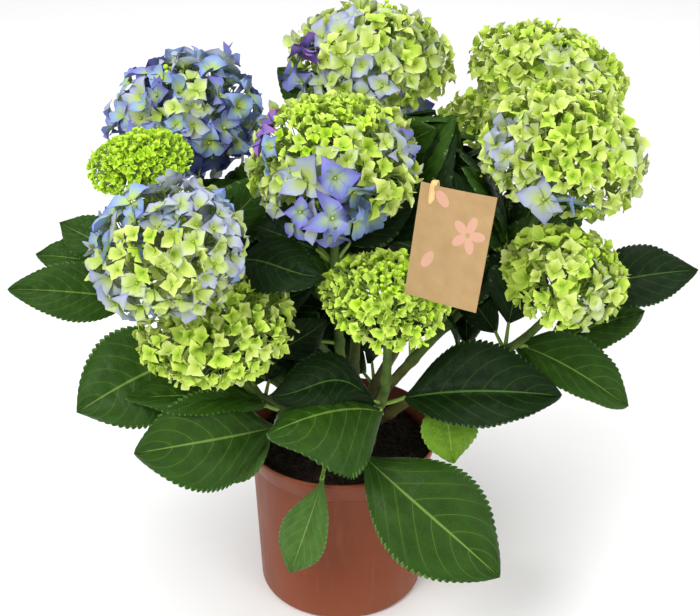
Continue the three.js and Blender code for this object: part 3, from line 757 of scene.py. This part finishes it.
def florets(eyes, facing, size, cup, curl, tints, rng):
    """Many florets at once: four creased, pointed petals round each eye, in two pairs, with a bud between."""
    count = len(eyes)
    facing = unit(facing)
    spin = unit(np.cross(facing, rng.standard_normal((count, 3))))
    other = np.cross(facing, spin)
    quarter = np.arange(4) * math.pi / 2
    turn = quarter[None, :] + rng.normal(0, 0.1, (count, 4))
    length = size[:, None] * rng.uniform(0.88, 1.22, (count, 4)) * np.array([1.0, 0.9, 1.0, 0.9])[None, :]
    breadth = length * rng.uniform(0.35, 0.47, (count, 4))
    rise = cup[:, None] + rng.normal(0, 0.2, (count, 4))
    bend = curl[:, None] + rng.normal(0, 0.16, (count, 4))
    crease = rng.uniform(0.08, 0.42, (count, 4))
    ripple = rng.normal(0, 0.08, (count, 4))
    tip_turn = rng.normal(0, 0.3, (count, 4))
    flick = rng.normal(0.0, 0.45, (count, 4)) - 0.25

    def spread(values):
        return values[:, :, None, None]

    t = petal_rows[None, None, :, None]
    h = petal_half[None, None, :, None]
    u = petal_across[None, None, None, :]
    level = np.array([0.0, -0.05, 0.0, -0.05])[None, :] * size[:, None]
    forward = spread(length) * t * np.cos(spread(rise)) * np.ones_like(u)
    height = spread(length) * (np.sin(spread(rise)) * (1.5 * t - 0.7 * t**2) + spread(bend) * t**2)
    height = height + spread(breadth) * h * np.abs(u) * spread(crease) * (1.2 + 2.2 * t)
    height = height + spread(length) * spread(flick) * np.clip(t - 0.5, 0, 1) ** 2
    height = height + spread(length) * spread(ripple) * np.sin(t * 7 + u * 2) * u + spread(level)
    sideways = spread(breadth) * h * u + spread(length) * spread(tip_turn) * t**2 * 0.5
    forward = forward - spread(breadth) * 0.12 * np.abs(u) * h
    cos_turn, sin_turn = np.cos(spread(turn)), np.sin(spread(turn))
    flat_a = forward * cos_turn - sideways * sin_turn
    flat_b = forward * sin_turn + sideways * cos_turn
    place = (
        eyes[:, None, None, None, :]
        + flat_a[..., None] * spin[:, None, None, None, :]
        + flat_b[..., None] * other[:, None, None, None, :]
        + height[..., None] * facing[:, None, None, None, :]
    )
    tint = tints[:, None, None, None]
    map_u = (tint + 0.5 + 0.44 * u * np.ones_like(place[..., 0])) / len(bloom_tints)
    map_v = 0.02 + 0.96 * t * np.ones_like(place[..., 0])
    points = place.reshape(-1, 3)
    uv = np.stack([map_u, map_v], -1).reshape(-1, 2)
    starts = np.arange(count * 4)[:, None, None] * 30
    quads = (petal_quads[None, :, :] + starts).reshape(-1, 4)
    bud_size = np.clip(size * 0.085, 0.0006, 0.0014)
    core = eyes + facing * (bud_size * 0.9)[:, None]
    bud_points = (core[:, None, :] + ball_points[None, :, :] * bud_size[:, None, None]).reshape(-1, 3)
    bud_quads = (ball_quads[None, :, :] + np.arange(count)[:, None, None] * len(ball_points)).reshape(-1, 4)
    bud_tint = np.where(tints >= 4, 2, 0)[:, None]
    bud_u = (bud_tint + 0.5 + 0.3 * ball_points[None, :, 0]) / len(bloom_tints)
    bud_v = np.broadcast_to(0.1 + 0.08 * ball_points[None, :, 2], bud_u.shape)
    bud_uv = np.stack([bud_u, bud_v], -1).reshape(-1, 2)
    return [(points, quads, uv), (bud_points, bud_quads, bud_uv)]


def thin_stalks(starts, ends, thick, thin, rng, sides=4, steps=4):
    """Many thin bowed stalks at once, as one part."""
    count = len(starts)
    share = np.linspace(0, 1, steps)[None, :, None]
    span = ends - starts
    length = np.linalg.norm(span, axis=1)
    bow = unit(rng.standard_normal((count, 3))) * (0.07 * length)[:, None]
    path = starts[:, None, :] + span[:, None, :] * share + bow[:, None, :] * 4 * share * (1 - share)
    along = unit(span)
    first = unit(np.cross(along, rng.standard_normal((count, 3))))
    second = np.cross(along, first)
    turn = np.linspace(0, 2 * math.pi, sides, endpoint=False)
    ring = first[:, None, :] * np.cos(turn)[None, :, None] + second[:, None, :] * np.sin(turn)[None, :, None]
    radius = (thick + (thin - thick) * share)[..., None]
    points = (path[:, :, None, :] + ring[:, None, :, :] * radius).reshape(-1, 3)
    offsets = np.arange(count)[:, None, None] * steps * sides
    quads = (np.array(ring_quads(steps, sides))[None, :, :] + offsets).reshape(-1, 4)
    up = np.tile(np.repeat(np.linspace(0.1, 0.9, steps), sides), count)
    over = np.tile((len(bloom_tints) - 0.5 + 0.3 * np.cos(turn)) / len(bloom_tints), count * steps)
    return points, quads, np.stack([over, up], 1)


def bloom_colours():
    """The petal material: heart, middle and tip colours for each tint, picked by the UV map."""
    material, tree, shader = plain_material("bloom_petals", 0.62, 0.35)
    map_point = node_in(tree, "SeparateXYZ", {0: node_in(tree, "UVMap", uv_map="OFBake").outputs["UV"]})
    u, v = map_point.outputs["X"], map_point.outputs["Y"]
    stops = [i / len(bloom_tints) for i in range(len(bloom_tints))]

    def picked(codes):
        return ramp(tree, u, list(zip(stops, codes)), "CONSTANT")

    heart = picked("9cc41a 9cc034 acc448 aac44e acbe60 a8c05c 98ae84 54648c 5e5eac 7d9a3c".split())
    middle = picked("bade38 bed852 c4d470 bccc80 a4aebc 829cc6 767ec2 4a529a 8060ac 8aa648".split())
    tip = picked("cce658 d4e478 d4e09a a0a2c2 8c8cc2 6f77c2 7763b4 544a94 945492 8aa648".split())
    cell = maths(tree, "FRACT", maths(tree, "MULTIPLY", u, float(len(bloom_tints))))
    across = maths(tree, "MULTIPLY", maths(tree, "ABSOLUTE", maths(tree, "SUBTRACT", cell, 0.5)), 2.27)
    edge = maths(tree, "MULTIPLY", maths(tree, "MULTIPLY", across, across), 0.26)
    ripeness = maths(tree, "MULTIPLY_ADD", v, 0.78, edge)
    petal_place = node_in(tree, "CombineXYZ", {0: u, 1: v}).outputs[0]
    streak = noise(tree, scaled(tree, petal_place, (240, 5, 1)), 1.0, 2.0)
    ripeness = maths(tree, "MULTIPLY_ADD", maths(tree, "SUBTRACT", streak, 0.5), 0.22, ripeness)
    tone = mixed(tree, span(tree, ripeness, 0.14, 0.56), heart, middle)
    tone = mixed(tree, span(tree, ripeness, 0.52, 0.94), tone, tip)
    tone = mixed(tree, maths(tree, "MULTIPLY", span(tree, v, 0.15, 0.05), 0.5), tone, colour("4a6a1c"))
    dress(tree, shader, tone, streak, 0.25, 0.0003)
    return material


bloom_petals = bloom_colours()
front = unit([0.0, -0.87, 0.5])
rise = unit([0.0, 0.5, 0.87])
right = np.array([1.0, 0.0, 0.0])


def facing_spot(across, up):
    """A direction from a head's middle, by how far right and up it lies on the side seen from the front."""
    return unit(right * across + rise * up + front * math.sqrt(max(0.0, 1 - across**2 - up**2)))


# A bloom's stages are (tints with their shares, petal length, how cupped, how the tips curl). Each head has
# how close its florets stand, how far down its side they go in degrees from its top, the stage of most of
# it, and patches of other stages as (direction, how wide, stage).
stages = {
    "tight": ({"bud": 1.0}, (0.0044, 0.0060), 0.85, 0.1),
    "young": ({"lime": 0.75, "cream": 0.25}, (0.0075, 0.0105), 0.6, 0.1),
    "small": ({"lime": 0.85, "bud": 0.15}, (0.0065, 0.0095), 0.65, 0.1),
    "fresh": ({"lime": 0.55, "cream": 0.45}, (0.0095, 0.0130), 0.5, 0.05),
    "cream": ({"cream": 0.45, "lilac_tip": 0.3, "lime": 0.25}, (0.0115, 0.0150), 0.4, 0.0),
    "turning": ({"lilac_tip": 0.45, "cream": 0.1, "lilac": 0.3, "blue": 0.15}, (0.0125, 0.0165), 0.35, 0.0),
    "lilac": ({"lilac": 0.55, "violet": 0.2, "blue": 0.15, "lilac_tip": 0.1}, (0.0150, 0.0190), 0.3, 0.0),
    "pale": ({"lilac": 0.8, "lilac_tip": 0.2}, (0.0170, 0.0200), 0.1, -0.15),
    "blue": ({"blue": 0.5, "violet": 0.3, "lilac": 0.2}, (0.0165, 0.0210), 0.25, -0.05),
    "star": ({"blue": 0.45, "violet": 0.45, "lilac": 0.1}, (0.0205, 0.0265), 0.2, -0.15),
    "dusk": ({"deep": 0.45, "violet": 0.35, "blue": 0.2}, (0.0175, 0.0215), 0.05, -0.2),
    "plum": ({"magenta": 0.75, "violet": 0.25}, (0.0180, 0.0220), 0.15, -0.1),
    "mauve": ({"violet": 0.7, "lilac": 0.3}, (0.0170, 0.0200), 0.15, -0.1),
}
mopheads = {
    "left_bud": (0.43, 116, "tight", ()),
    "left_back": (
        0.46,
        128,
        "blue",
        ((facing_spot(0.0, 0.15), 0.5, "turning"), (facing_spot(0.6, -0.65), 0.5, "dusk")),
    ),
    "left": (
        0.46,
        128,
        "turning",
        (
            (facing_spot(0.0, 0.75), 0.7, "lilac"),
            (facing_spot(-0.6, 0.5), 0.45, "blue"),
            (facing_spot(0.1, -0.35), 0.55, "cream"),
            (facing_spot(-0.5, -0.1), 0.4, "fresh"),
            (facing_spot(-0.65, -0.65), 0.4, "pale"),
        ),
    ),
    "left_front": (0.5, 122, "fresh", ((facing_spot(0.75, -0.3), 0.6, "young"),)),
    "centre": (
        0.48,
        124,
        "cream",
        (
            (facing_spot(0.0, 0.85), 0.75, "small"),
            (facing_spot(-0.3, 0.5), 0.5, "small"),
            (facing_spot(-0.05, -0.72), 0.7, "star"),
            (facing_spot(-0.5, -0.75), 0.35, "mauve"),
            (facing_spot(0.9, 0.25), 0.35, "mauve"),
            (facing_spot(-0.9, 0.3), 0.3, "plum"),
            (facing_spot(-0.85, -0.1), 0.35, "turning"),
        ),
    ),
    "top_back": (
        0.48,
        120,
        "cream",
        (
            (facing_spot(-0.85, -0.05), 0.4, "plum"),
            (facing_spot(-0.55, 0.45), 0.35, "lilac"),
            (facing_spot(-0.2, -0.6), 0.5, "turning"),
        ),
    ),
    "right": (
        0.47,
        124,
        "cream",
        (
            (facing_spot(-0.85, 0.1), 0.35, "lilac"),
            (facing_spot(-0.15, -0.6), 0.26, "star"),
            (facing_spot(0.1, -0.1), 0.6, "fresh"),
            (facing_spot(0.2, 0.6), 0.7, "fresh"),
        ),
    ),
    "right_back": (0.48, 118, "fresh", ((facing_spot(0.3, -0.1), 0.5, "cream"),)),
    "right_low": (0.5, 124, "fresh", ((facing_spot(0.4, -0.5), 0.6, "cream"),)),
    "centre_low": (0.56, 118, "small", ((facing_spot(0.0, -0.9), 0.5, "young"),)),
    "back_left": (0.5, 122, "lilac", ((unit([0.2, 0.7, 0.5]), 0.6, "blue"),)),
    "back_middle": (0.5, 122, "blue", ((unit([-0.5, 0.5, 0.4]), 0.6, "turning"),)),
    "back_right": (0.52, 120, "fresh", ((unit([0.3, 0.8, 0.1]), 0.7, "turning"),)),
}
golden_turn = math.pi * (3 - math.sqrt(5))
hub_amount = 16
face_limit = 150000
head_trees = {}


def closed_tree(points, triangles):
    """A closed shape's faces, for finding how near a place is to it."""
    return BVHTree.FromPolygons([Vector(p) for p in points], [tuple(t) for t in triangles.tolist()])


def spiral_ways(amount, lowest, axis, first, second):
    """Evenly spread directions round an axis, down to an angle from it in degrees."""
    polar = 1 - (np.arange(amount) + 0.5) / amount * (1 - math.cos(math.radians(lowest)))
    turn = np.arange(amount) * golden_turn
    ring = np.sqrt(1 - polar**2)
    sideways = first * (ring * np.cos(turn))[:, None]
    return axis * polar[:, None] + sideways + second * (ring * np.sin(turn))[:, None]


petal_groups = {"lime": [], "ripe": []}
stalk_parts = []
inner_parts = []
for count, name in enumerate(sorted(mopheads)):
    spacing, lowest, main_stage, patches = mopheads[name]
    rng = np.random.default_rng(500 + count)
    points, triangles = node_mesh("head_" + name)
    tree_of_head = closed_tree(points, triangles)
    head_trees[name] = tree_of_head
    middle = (points.min(0) + points.max(0)) / 2
    stem_tip = stem_paths[name][-1]
    axis = unit(middle - stem_tip)
    first = unit(np.cross(axis, [0.3, 0.9, 0.2]))
    second = np.cross(axis, first)
    tries = 1100
    ways = spiral_ways(tries, lowest, axis, first, second)
    ways = rng.permutation(unit(ways + rng.normal(0, 0.02, (tries, 3))))
    stage_of = np.full(tries, main_stage, dtype=object)
    for spot, width, stage in patches:
        near = np.linalg.norm(ways - spot, axis=1) < width * rng.uniform(0.8, 1.2, tries)
        stage_of[near] = stage
    size, cup, curl, reach = np.empty(tries), np.empty(tries), np.empty(tries), np.empty(tries)
    tints = np.empty(tries, dtype=int)
    for i, stage in enumerate(stage_of):
        shares, (small, large), lift, tip_curl = stages[stage]
        size[i] = rng.uniform(small, large)
        tints[i] = bloom_tints.index(rng.choice(list(shares), p=list(shares.values())))
        cup[i] = lift + rng.normal(0, 0.15)
        curl[i] = tip_curl + rng.normal(0, 0.08)
        hit = tree_of_head.ray_cast(Vector(middle + ways[i] * 0.3), Vector(-ways[i]), 0.3)
        reach[i] = np.linalg.norm(np.array(hit[0]) - middle) if hit[0] else 0.04
    crust = middle + ways * reach[:, None]
    kept = []
    for i in range(tries):
        gaps = np.linalg.norm(crust[kept] - crust[i], axis=1) / (size[kept] + size[i]) if kept else [9]
        if np.min(gaps) > spacing:
            kept.append(i)
    ways, size, cup, curl, reach, tints = (a[kept] for a in (ways, size, cup, curl, reach, tints))
    under = rng.permutation(len(kept))[: len(kept) // 2]
    ways = np.concatenate([ways, unit(ways[under] + rng.normal(0, 0.16, (len(under), 3)))])
    reach = np.concatenate([reach, reach[under] * rng.uniform(0.62, 0.8, len(under))])
    size = np.concatenate([size, size[under] * 0.85])
    cup, curl, tints = (np.concatenate([a, a[under]]) for a in (cup, curl, tints))
    amount = len(ways)
    depth = size * np.clip(np.sin(cup) + curl, -0.1, 0.9) + 0.0015
    sunk = size * 0.45 * rng.random(amount) ** 1.5
    eyes = middle + ways * (reach - depth * 0.8 - sunk)[:, None]
    outward = unit(ways * np.array([1.0, 1.0, 0.9]) + rng.normal(0, 0.34, (amount, 3)) + [0, 0, 0.1])
    for group, chosen in (("lime", tints < 4), ("ripe", tints >= 4)):
        if chosen.any():
            petal_groups[group] += florets(
                eyes[chosen], outward[chosen], size[chosen], cup[chosen], curl[chosen], tints[chosen], rng
            )
    hub_ways = spiral_ways(hub_amount, 100, axis, first, second)
    hubs = middle - axis * (np.median(reach) * 0.15) + hub_ways * np.median(reach) * 0.5
    stem_tips = np.repeat(stem_tip[None, :], hub_amount, 0)
    stalk_parts.append(thin_stalks(stem_tips, hubs, 0.0017, 0.0011, rng, sides=6, steps=5))
    nearest_hub = hubs[np.argmax(ways @ hub_ways.T, axis=1)]
    backs = eyes - outward * 0.0008
    stalk_parts.append(thin_stalks(nearest_hub, backs, 0.0008, 0.0005, rng))
    bud_count = 70 if main_stage in ("small", "fresh", "tight") else 45
    bud_ways = unit(rng.standard_normal((bud_count, 3)) + axis * 0.9)
    bud_reach = np.median(reach) * rng.uniform(0.55, 0.84, bud_count)
    bud_places = middle + bud_ways * bud_reach[:, None]
    bud_sizes = rng.uniform(0.0012, 0.0026, bud_count)
    bud_points = (bud_places[:, None, :] + ball_points[None] * bud_sizes[:, None, None]).reshape(-1, 3)
    bud_quads = (ball_quads[None] + np.arange(bud_count)[:, None, None] * len(ball_points)).reshape(-1, 4)
    bud_u = (0.5 + 0.3 * ball_points[None, :, 0]) / len(bloom_tints)
    bud_u = np.broadcast_to(bud_u, (bud_count, len(ball_points)))
    bud_v = np.broadcast_to(0.4 + 0.3 * ball_points[None, :, 2], bud_u.shape)
    inner_parts.append((bud_points, bud_quads, np.stack([bud_u, bud_v], -1).reshape(-1, 2)))
    bud_hubs = hubs[np.argmax(bud_ways @ hub_ways.T, axis=1)]
    stalk_parts.append(thin_stalks(bud_hubs, bud_places, 0.0007, 0.0005, rng))

lime_stages = ("tight", "small", "fresh", "cream")
lime_heads = [name for name in sorted(mopheads) if mopheads[name][2] in lime_stages]
ripe_heads = [name for name in sorted(mopheads) if name not in lime_heads]
for kind, slot, owners in (("lime", "bloom_lime", lime_heads), ("ripe", "bloom_lilac", ripe_heads)):
    parts = petal_groups[kind]
    faces = np.cumsum([2 * len(part[1]) for part in parts])
    pieces_needed = int(faces[-1] // face_limit) + 1
    share = faces[-1] / pieces_needed
    for number in range(pieces_needed):
        chosen = [p for p, f in zip(parts, faces) if number * share < f <= (number + 1) * share + 1]
        piece = joined("florets_%s_%d" % (kind, number + 1), chosen, bloom_petals)
        finish_piece(piece, slot, *(["head_" + name for name in owners] if number == 0 else []))
finish_piece(joined("floret_stalks", stalk_parts, bloom_petals), "green_stem")
finish_piece(joined("floret_buds", inner_parts, bloom_petals), "bloom_lime")


# ---- Foliage masses ----
# The rest of the leaves, on the stems' joints. Each mass is filled from its own outline:
# a leaf's tip lies on the mass's surface, and its stalk comes from the nearest stem joint inside.
mass_names = sorted(name for name in nodes if name.startswith("foliage_"))
leaves_in_mass = {
    "foliage_left_upper": 20,
    "foliage_left_lower": 18,
    "foliage_middle_upper": 30,
    "foliage_middle_right": 38,
    "foliage_middle_heart": 20,
    "foliage_right_upper": 28,
    "foliage_right_lower": 16,
    "foliage_back_left": 18,
    "foliage_back_middle": 18,
    "foliage_back_right": 18,
    "foliage_back_low": 16,
}
# Leaves that stand up from a mass's crest, facing the front.
crest_leaves = {"foliage_middle_right": 7}
joint_places = np.concatenate([stem_paths[name][stem_joints[name]] for name in head_names])


def is_inside(trees, places, margin=0.004):
    """Which of the places lie inside, or within a margin of, any of the closed shapes."""
    found = np.zeros(len(places), dtype=bool)
    for shape in trees:
        for i, place in enumerate(places):
            if found[i]:
                continue
            spot, normal, _, gap = shape.find_nearest(Vector(place))
            if gap < margin or (Vector(place) - spot).dot(normal) < 0:
                found[i] = True
    return found


solid_trees = list(head_trees.values())
for name in ("card", "card_peg"):
    points, triangles = node_mesh(name)
    solid_trees.append(closed_tree(points, triangles))
view_middle, view_distance, view_height = (0.009, 0.0, 0.307), 1.6, math.radians(30)
view_line = np.array([0, -math.cos(view_height), math.sin(view_height)])
eye_place = np.array(view_middle) + view_distance * view_line
open_places = [(0.076, 0.0, 0.239), (0.159, 0.0, 0.278)]


def hides_opening(places):
    """Whether a leaf would close one of the clear openings between the stems, seen from the front."""
    for opening in open_places:
        line = unit(np.array(opening) - eye_place)
        offsets = places - eye_place
        gap = np.linalg.norm(offsets - (offsets @ line)[:, None] * line, axis=1)
        if gap.min() < 0.009:
            return True
    return False


mass_stalks = []
for count, name in enumerate(mass_names):
    rng = np.random.default_rng(900 + count)
    points, triangles = node_mesh(name)
    corners = points[triangles]
    normals = np.cross(corners[:, 1] - corners[:, 0], corners[:, 2] - corners[:, 0])
    areas = np.linalg.norm(normals, axis=1)
    normals = unit(normals)
    made = 0
    parts = []
    heights = corners.mean(1)[:, 2]
    crest = np.flatnonzero(heights > heights.max() - 0.045)
    for _ in range(600):
        if made >= leaves_in_mass[name]:
            break
        at_crest = made < crest_leaves.get(name, 0)
        face = rng.choice(crest) if at_crest else rng.choice(len(triangles), p=areas / areas.sum())
        weights = rng.dirichlet([1, 1, 1])
        tip = weights @ corners[face] - normals[face] * rng.uniform(0.0, 0.02)
        if normals[face][2] < -0.8 and rng.random() < 0.7:
            continue
        above = np.maximum(0, joint_places[:, 2] - tip[2] - 0.02)
        gaps = np.linalg.norm(joint_places - tip, axis=1) + 1.5 * above
        gaps = np.where(gaps < 0.075, 9.0, gaps) + rng.uniform(0, 0.04, len(gaps))
        joint = joint_places[int(np.argmin(gaps))]
        run = tip - joint
        length = float(np.clip(np.linalg.norm(run) * 0.78, 0.06, 0.135))
        grows = unit([run[0], 0.0, abs(run[2]) * 1.6 + 0.03]) if at_crest else unit(run * [1, 1, 0.8])
        base = tip - grows * length
        bow = np.linspace(0, 1, 18)[:, None]
        roll = rng.normal(0, 0.35)
        outward = front if at_crest else unit(normals[face] * [1, 1, 0.3] + [0, -0.15, 0.6])
        side = unit(np.cross(unit(tip - base), outward))
        up = unit(np.cross(side, unit(tip - base)))
        side, up = side * math.cos(roll) + up * math.sin(roll), up * math.cos(roll) - side * math.sin(roll)
        rib = base + (tip - base) * bow + up * length * 0.42 * bow * (1 - bow)
        half = length * rng.uniform(0.27, 0.33)
        probe = np.concatenate([rib[::3], rib[4::4] + side * half * 0.8, rib[4::4] - side * half * 0.8])
        if probe[:, 2].min() < 0.178 or is_inside(solid_trees, probe).any() or hides_opening(probe):
            continue
        tint = "deep" if rng.random() < 0.7 else "bright"
        teeth = int(np.clip(length / 0.0075, 9, 16))
        parts += blade(rib, side, up, half, rng.uniform(0.04, 0.2), tint, rng, teeth, 6)
        blade_foot = rib[0] + unit(rib[1] - rib[0]) * 0.003
        mass_stalks.append(stalk(joint, blade_foot, np.zeros(3), 0.0022, 0.0014, sides=6, steps=6))
        made += 1
    piece = joined(name + "_leaves", parts, leaf_skin)
    finish_piece(piece, "leaf_green", name)
finish_piece(joined("foliage_stalks", mass_stalks, stalk_skin), "green_stem")


# ---- Card and peg ----
# A plain kraft board card with soft pink printed shapes, a little bent by damp, held at its top edge by a
# small wooden peg: two tapered jaws with a coiled wire spring between them.
card_points, _ = node_mesh("card")
card_middle = card_points.mean(0)
spread = np.linalg.eigh((card_points - card_middle).T @ (card_points - card_middle))[1]
card_out = spread[:, 0] * (1 if spread[1, 0] < 0 else -1)
card_up = spread[:, 2] * (1 if spread[2, 2] > 0 else -1)
card_side = np.cross(card_up, card_out)
card_half_width = np.abs((card_points - card_middle) @ card_side).max()
card_half_height = np.abs((card_points - card_middle) @ card_up).max()
board = 0.0009
across = np.linspace(-1, 1, 15)
along = np.linspace(-1, 1, 21)
grid_along, grid_across = np.meshgrid(along, across, indexing="ij")
bow = 0.0022 * (1 - grid_across**2) - 0.0035 * grid_across * (grid_along + 0.1) * (grid_across > -0.6)
sheet = (
    card_middle
    + card_side * (grid_across * card_half_width)[..., None]
    + card_up * (grid_along * card_half_height)[..., None]
    + card_out * bow[..., None]
).reshape(-1, 3)
face_quads = grid_quads(20, 14)
front_uv = np.stack([0.25 + 0.23 * grid_across, 0.5 + 0.48 * grid_along], 2).reshape(-1, 2)
card_parts = [
    (sheet + card_out * board / 2, face_quads, front_uv),
    (sheet - card_out * board / 2, face_quads[:, ::-1], front_uv + [0.5, 0]),
]
rows, columns = np.arange(21), np.arange(15)
border = np.concatenate([columns, rows[1:] * 15 + 14, 20 * 15 + columns[::-1][1:], rows[::-1][1:-1] * 15])
edge_points = np.concatenate([sheet[border] + card_out * board / 2, sheet[border] - card_out * board / 2])
size = len(border)
edge_quads = np.array([(i, i + size, (i + 1) % size + size, (i + 1) % size) for i in range(size)])
edge_uv = np.stack(
    [np.repeat([0.495, 0.505], size), np.tile(np.linspace(0.02, 0.98, size), 2)], 1
)
card_parts.append((edge_points, edge_quads, edge_uv))
kraft, tree, shader = plain_material("kraft_board", 0.82, 0.25)
map_node = node_in(tree, "UVMap", uv_map="OFBake").outputs["UV"]
flat_place = scaled(tree, map_node, (2, 1.45, 1))
cloud, grain = mottled(tree, flat_place, 5.0, 190.0)
tone = ramp(tree, cloud, [(0.3, "a1835a"), (0.7, "ac8e64"), (0.9, "b4986d")])
fibre = noise(tree, scaled(tree, flat_place, (40, 110, 1)), 1.0, 3.0)
tone = mixed(tree, remapped(tree, fibre, 0.62, 0.74, 0.0, 0.45), tone, colour("8a683c"))
tone = mixed(tree, remapped(tree, grain, 0.66, 0.74, 0.0, 0.35), tone, colour("ceb78a"))
# Printed shapes: a five-petalled flower and two loose petals, each an ellipse as (middle, halves, turn),
# in tenths of a metre.
printed_place = scaled(tree, map_node, (1.5, 0.95, 1))
flower = (0.53, 0.6)
petals = [
    ((flower[0] + 0.085 * math.sin(turn), flower[1] + 0.085 * math.cos(turn)), (0.04, 0.07), turn)
    for turn in np.linspace(0.3, 0.3 + 2 * math.pi, 5, endpoint=False)
]
petals += [((0.2, 0.34), (0.045, 0.08), 0.6), ((0.26, 0.84), (0.045, 0.08), 2.3)]
for middle, halves, turn in petals:
    shift = (-middle[0], -middle[1], 0)
    centred = node_in(tree, "Mapping", {"Vector": printed_place, "Location": shift}).outputs[0]
    turned = node_in(tree, "Mapping", {"Vector": centred, "Rotation": (0, 0, turn)}).outputs[0]
    sized = scaled(tree, turned, (1 / halves[0], 1 / halves[1], 0))
    reach = node_in(tree, "VectorMath", {0: sized}, operation="LENGTH").outputs["Value"]
    tone = mixed(tree, remapped(tree, reach, 0.94, 1.0, 0.8, 0.0), tone, colour("c99a86"))
dress(tree, shader, tone, fibre, 0.2, 0.0003)
finish_piece(joined("kraft_card", card_parts, kraft), "kraft_card", "card")

peg_points, _ = node_mesh("card_peg")
peg_low = [((peg_points - card_middle) @ way).min() for way in (card_side, card_out, card_up)]
peg_high = [((peg_points - card_middle) @ way).max() for way in (card_side, card_out, card_up)]
peg_middle = card_middle + sum(
    way * (low + high) / 2 for way, low, high in zip((card_side, card_out, card_up), peg_low, peg_high)
)
peg_half = [(high - low) / 2 for low, high in zip(peg_low, peg_high)]
pegwood, tree, shader = plain_material("peg_wood", 0.6, 0.35)
where = node_in(tree, "TexCoord").outputs["Object"]
rings = noise(tree, scaled(tree, where, (900, 900, 110)), 1.0, 3.0)
tone = ramp(tree, rings, [(0.3, "c59a5e"), (0.55, "dcb87c"), (0.8, "e9cd98")])
dress(tree, shader, tone, rings, 0.3, 0.0003)
jaw_parts = []
jaw_rows = np.linspace(-1, 1, 13)
for face in (-1, 1):
    tapers = 0.34 * np.clip(jaw_rows - 0.2, 0, 1) ** 2, 0.45 * np.clip(-jaw_rows - 0.3, 0, 1) ** 1.5
    outer = peg_half[1] * (0.98 - tapers[0] - tapers[1])
    inner = np.where(jaw_rows > 0.72, 0.0002, 0.0011 + 0.0006 * np.clip(-jaw_rows, 0, 1))
    width = peg_half[0] * (1 - 0.35 * np.abs(jaw_rows) ** 8)
    corner = [(-1, 0), (-0.8, 1), (0.8, 1), (1, 0), (0.8, -1), (-0.8, -1)]
    rings_of_jaw = []
    for row, out, near, half in zip(jaw_rows, outer, inner, width):
        mid, deep = (out + near) / 2, (out - near) / 2
        for sideways, depth in corner:
            rings_of_jaw.append(
                peg_middle
                + card_side * half * sideways
                + card_out * face * (mid + deep * depth)
                + card_up * peg_half[2] * row
            )
    quads = ring_quads(len(jaw_rows), len(corner))
    quads += [(3, 2, 1, 0), (5, 4, 3, 0), (72, 73, 74, 75), (72, 75, 76, 77)]
    quads = np.array(quads) if face < 0 else np.array(quads)[:, ::-1]
    uv = np.stack([np.tile(np.linspace(0.1, 0.9, 6), 13), np.repeat(np.linspace(0.05, 0.95, 13), 6)], 1)
    jaw_parts.append((np.array(rings_of_jaw), quads, uv))
jaws = joined("peg_jaws", jaw_parts, pegwood, smooth=False)
finish_piece(jaws, "peg_wood", "card_peg")
wire, tree, shader = plain_material("peg_wire", 0.32, 0.5)
shader.inputs["Metallic"].default_value = 1.0
where = node_in(tree, "TexCoord").outputs["Object"]
cloud, grain = mottled(tree, where, 300.0, 2500.0)
wire_tone = ramp(tree, cloud, [(0.3, "9a9488"), (0.7, "bdb8ad")])
tree.links.new(wire_tone, shader.inputs["Base Color"])
coil = np.linspace(0, 3.5 * 2 * math.pi, 64)
coil_path = (
    peg_middle
    + card_up * peg_half[2] * 0.42
    + np.outer(np.linspace(-0.8, 0.8, 64) * peg_half[0], card_side)
    + np.outer(0.0017 * np.cos(coil), card_out)
    + np.outer(0.0017 * np.sin(coil), card_up)
)
finish_piece(joined("peg_spring", [tube(coil_path, 0.00035, 8)], wire), "peg_wood")


# ---- Floor, light and camera ----
bpy.ops.mesh.primitive_plane_add(size=8.0, location=(0, 0, 0))
floor = bpy.context.object
floor.name = "studio_floor"
floor_paint, tree, shader = plain_material("studio_floor", 0.9, 0.2)
shader.inputs["Base Color"].default_value = (0.97, 0.97, 0.97, 1)
floor.data.materials.append(floor_paint)

world = bpy.data.worlds.new("studio")
bpy.context.scene.world = world
world.use_nodes = True
world.node_tree.nodes["Background"].inputs["Color"].default_value = (1.0, 1.0, 1.0, 1)
world.node_tree.nodes["Background"].inputs["Strength"].default_value = 0.6
for name, place, aim, size, power in (
    ("key", (-1.1, -1.5, 1.9), (0.0, 0.0, 0.3), 1.2, 42.0),
    ("fill", (1.6, -1.2, 1.2), (0.0, 0.0, 0.3), 1.4, 16.0),
    ("top", (0.1, 0.5, 2.2), (0.0, 0.0, 0.3), 1.4, 24.0),
):
    bpy.ops.object.light_add(type="AREA", location=place)
    lamp = bpy.context.object
    lamp.name = "light_" + name
    lamp.data.size = size
    lamp.data.energy = power
    lamp.rotation_euler = (Vector(aim) - Vector(place)).to_track_quat("-Z", "Y").to_euler()

aim = Vector(view_middle)
bpy.ops.object.camera_add()
camera = bpy.context.object
camera.location = aim + view_distance * Vector((0, -math.cos(view_height), math.sin(view_height)))
camera.rotation_euler = (aim - camera.location).to_track_quat("-Z", "Y").to_euler()
camera.data.sensor_width = 36.0
camera.data.lens = 36.0 * 1720 / 700
bpy.context.scene.camera = camera
bpy.context.scene.view_settings.view_transform = "Standard"
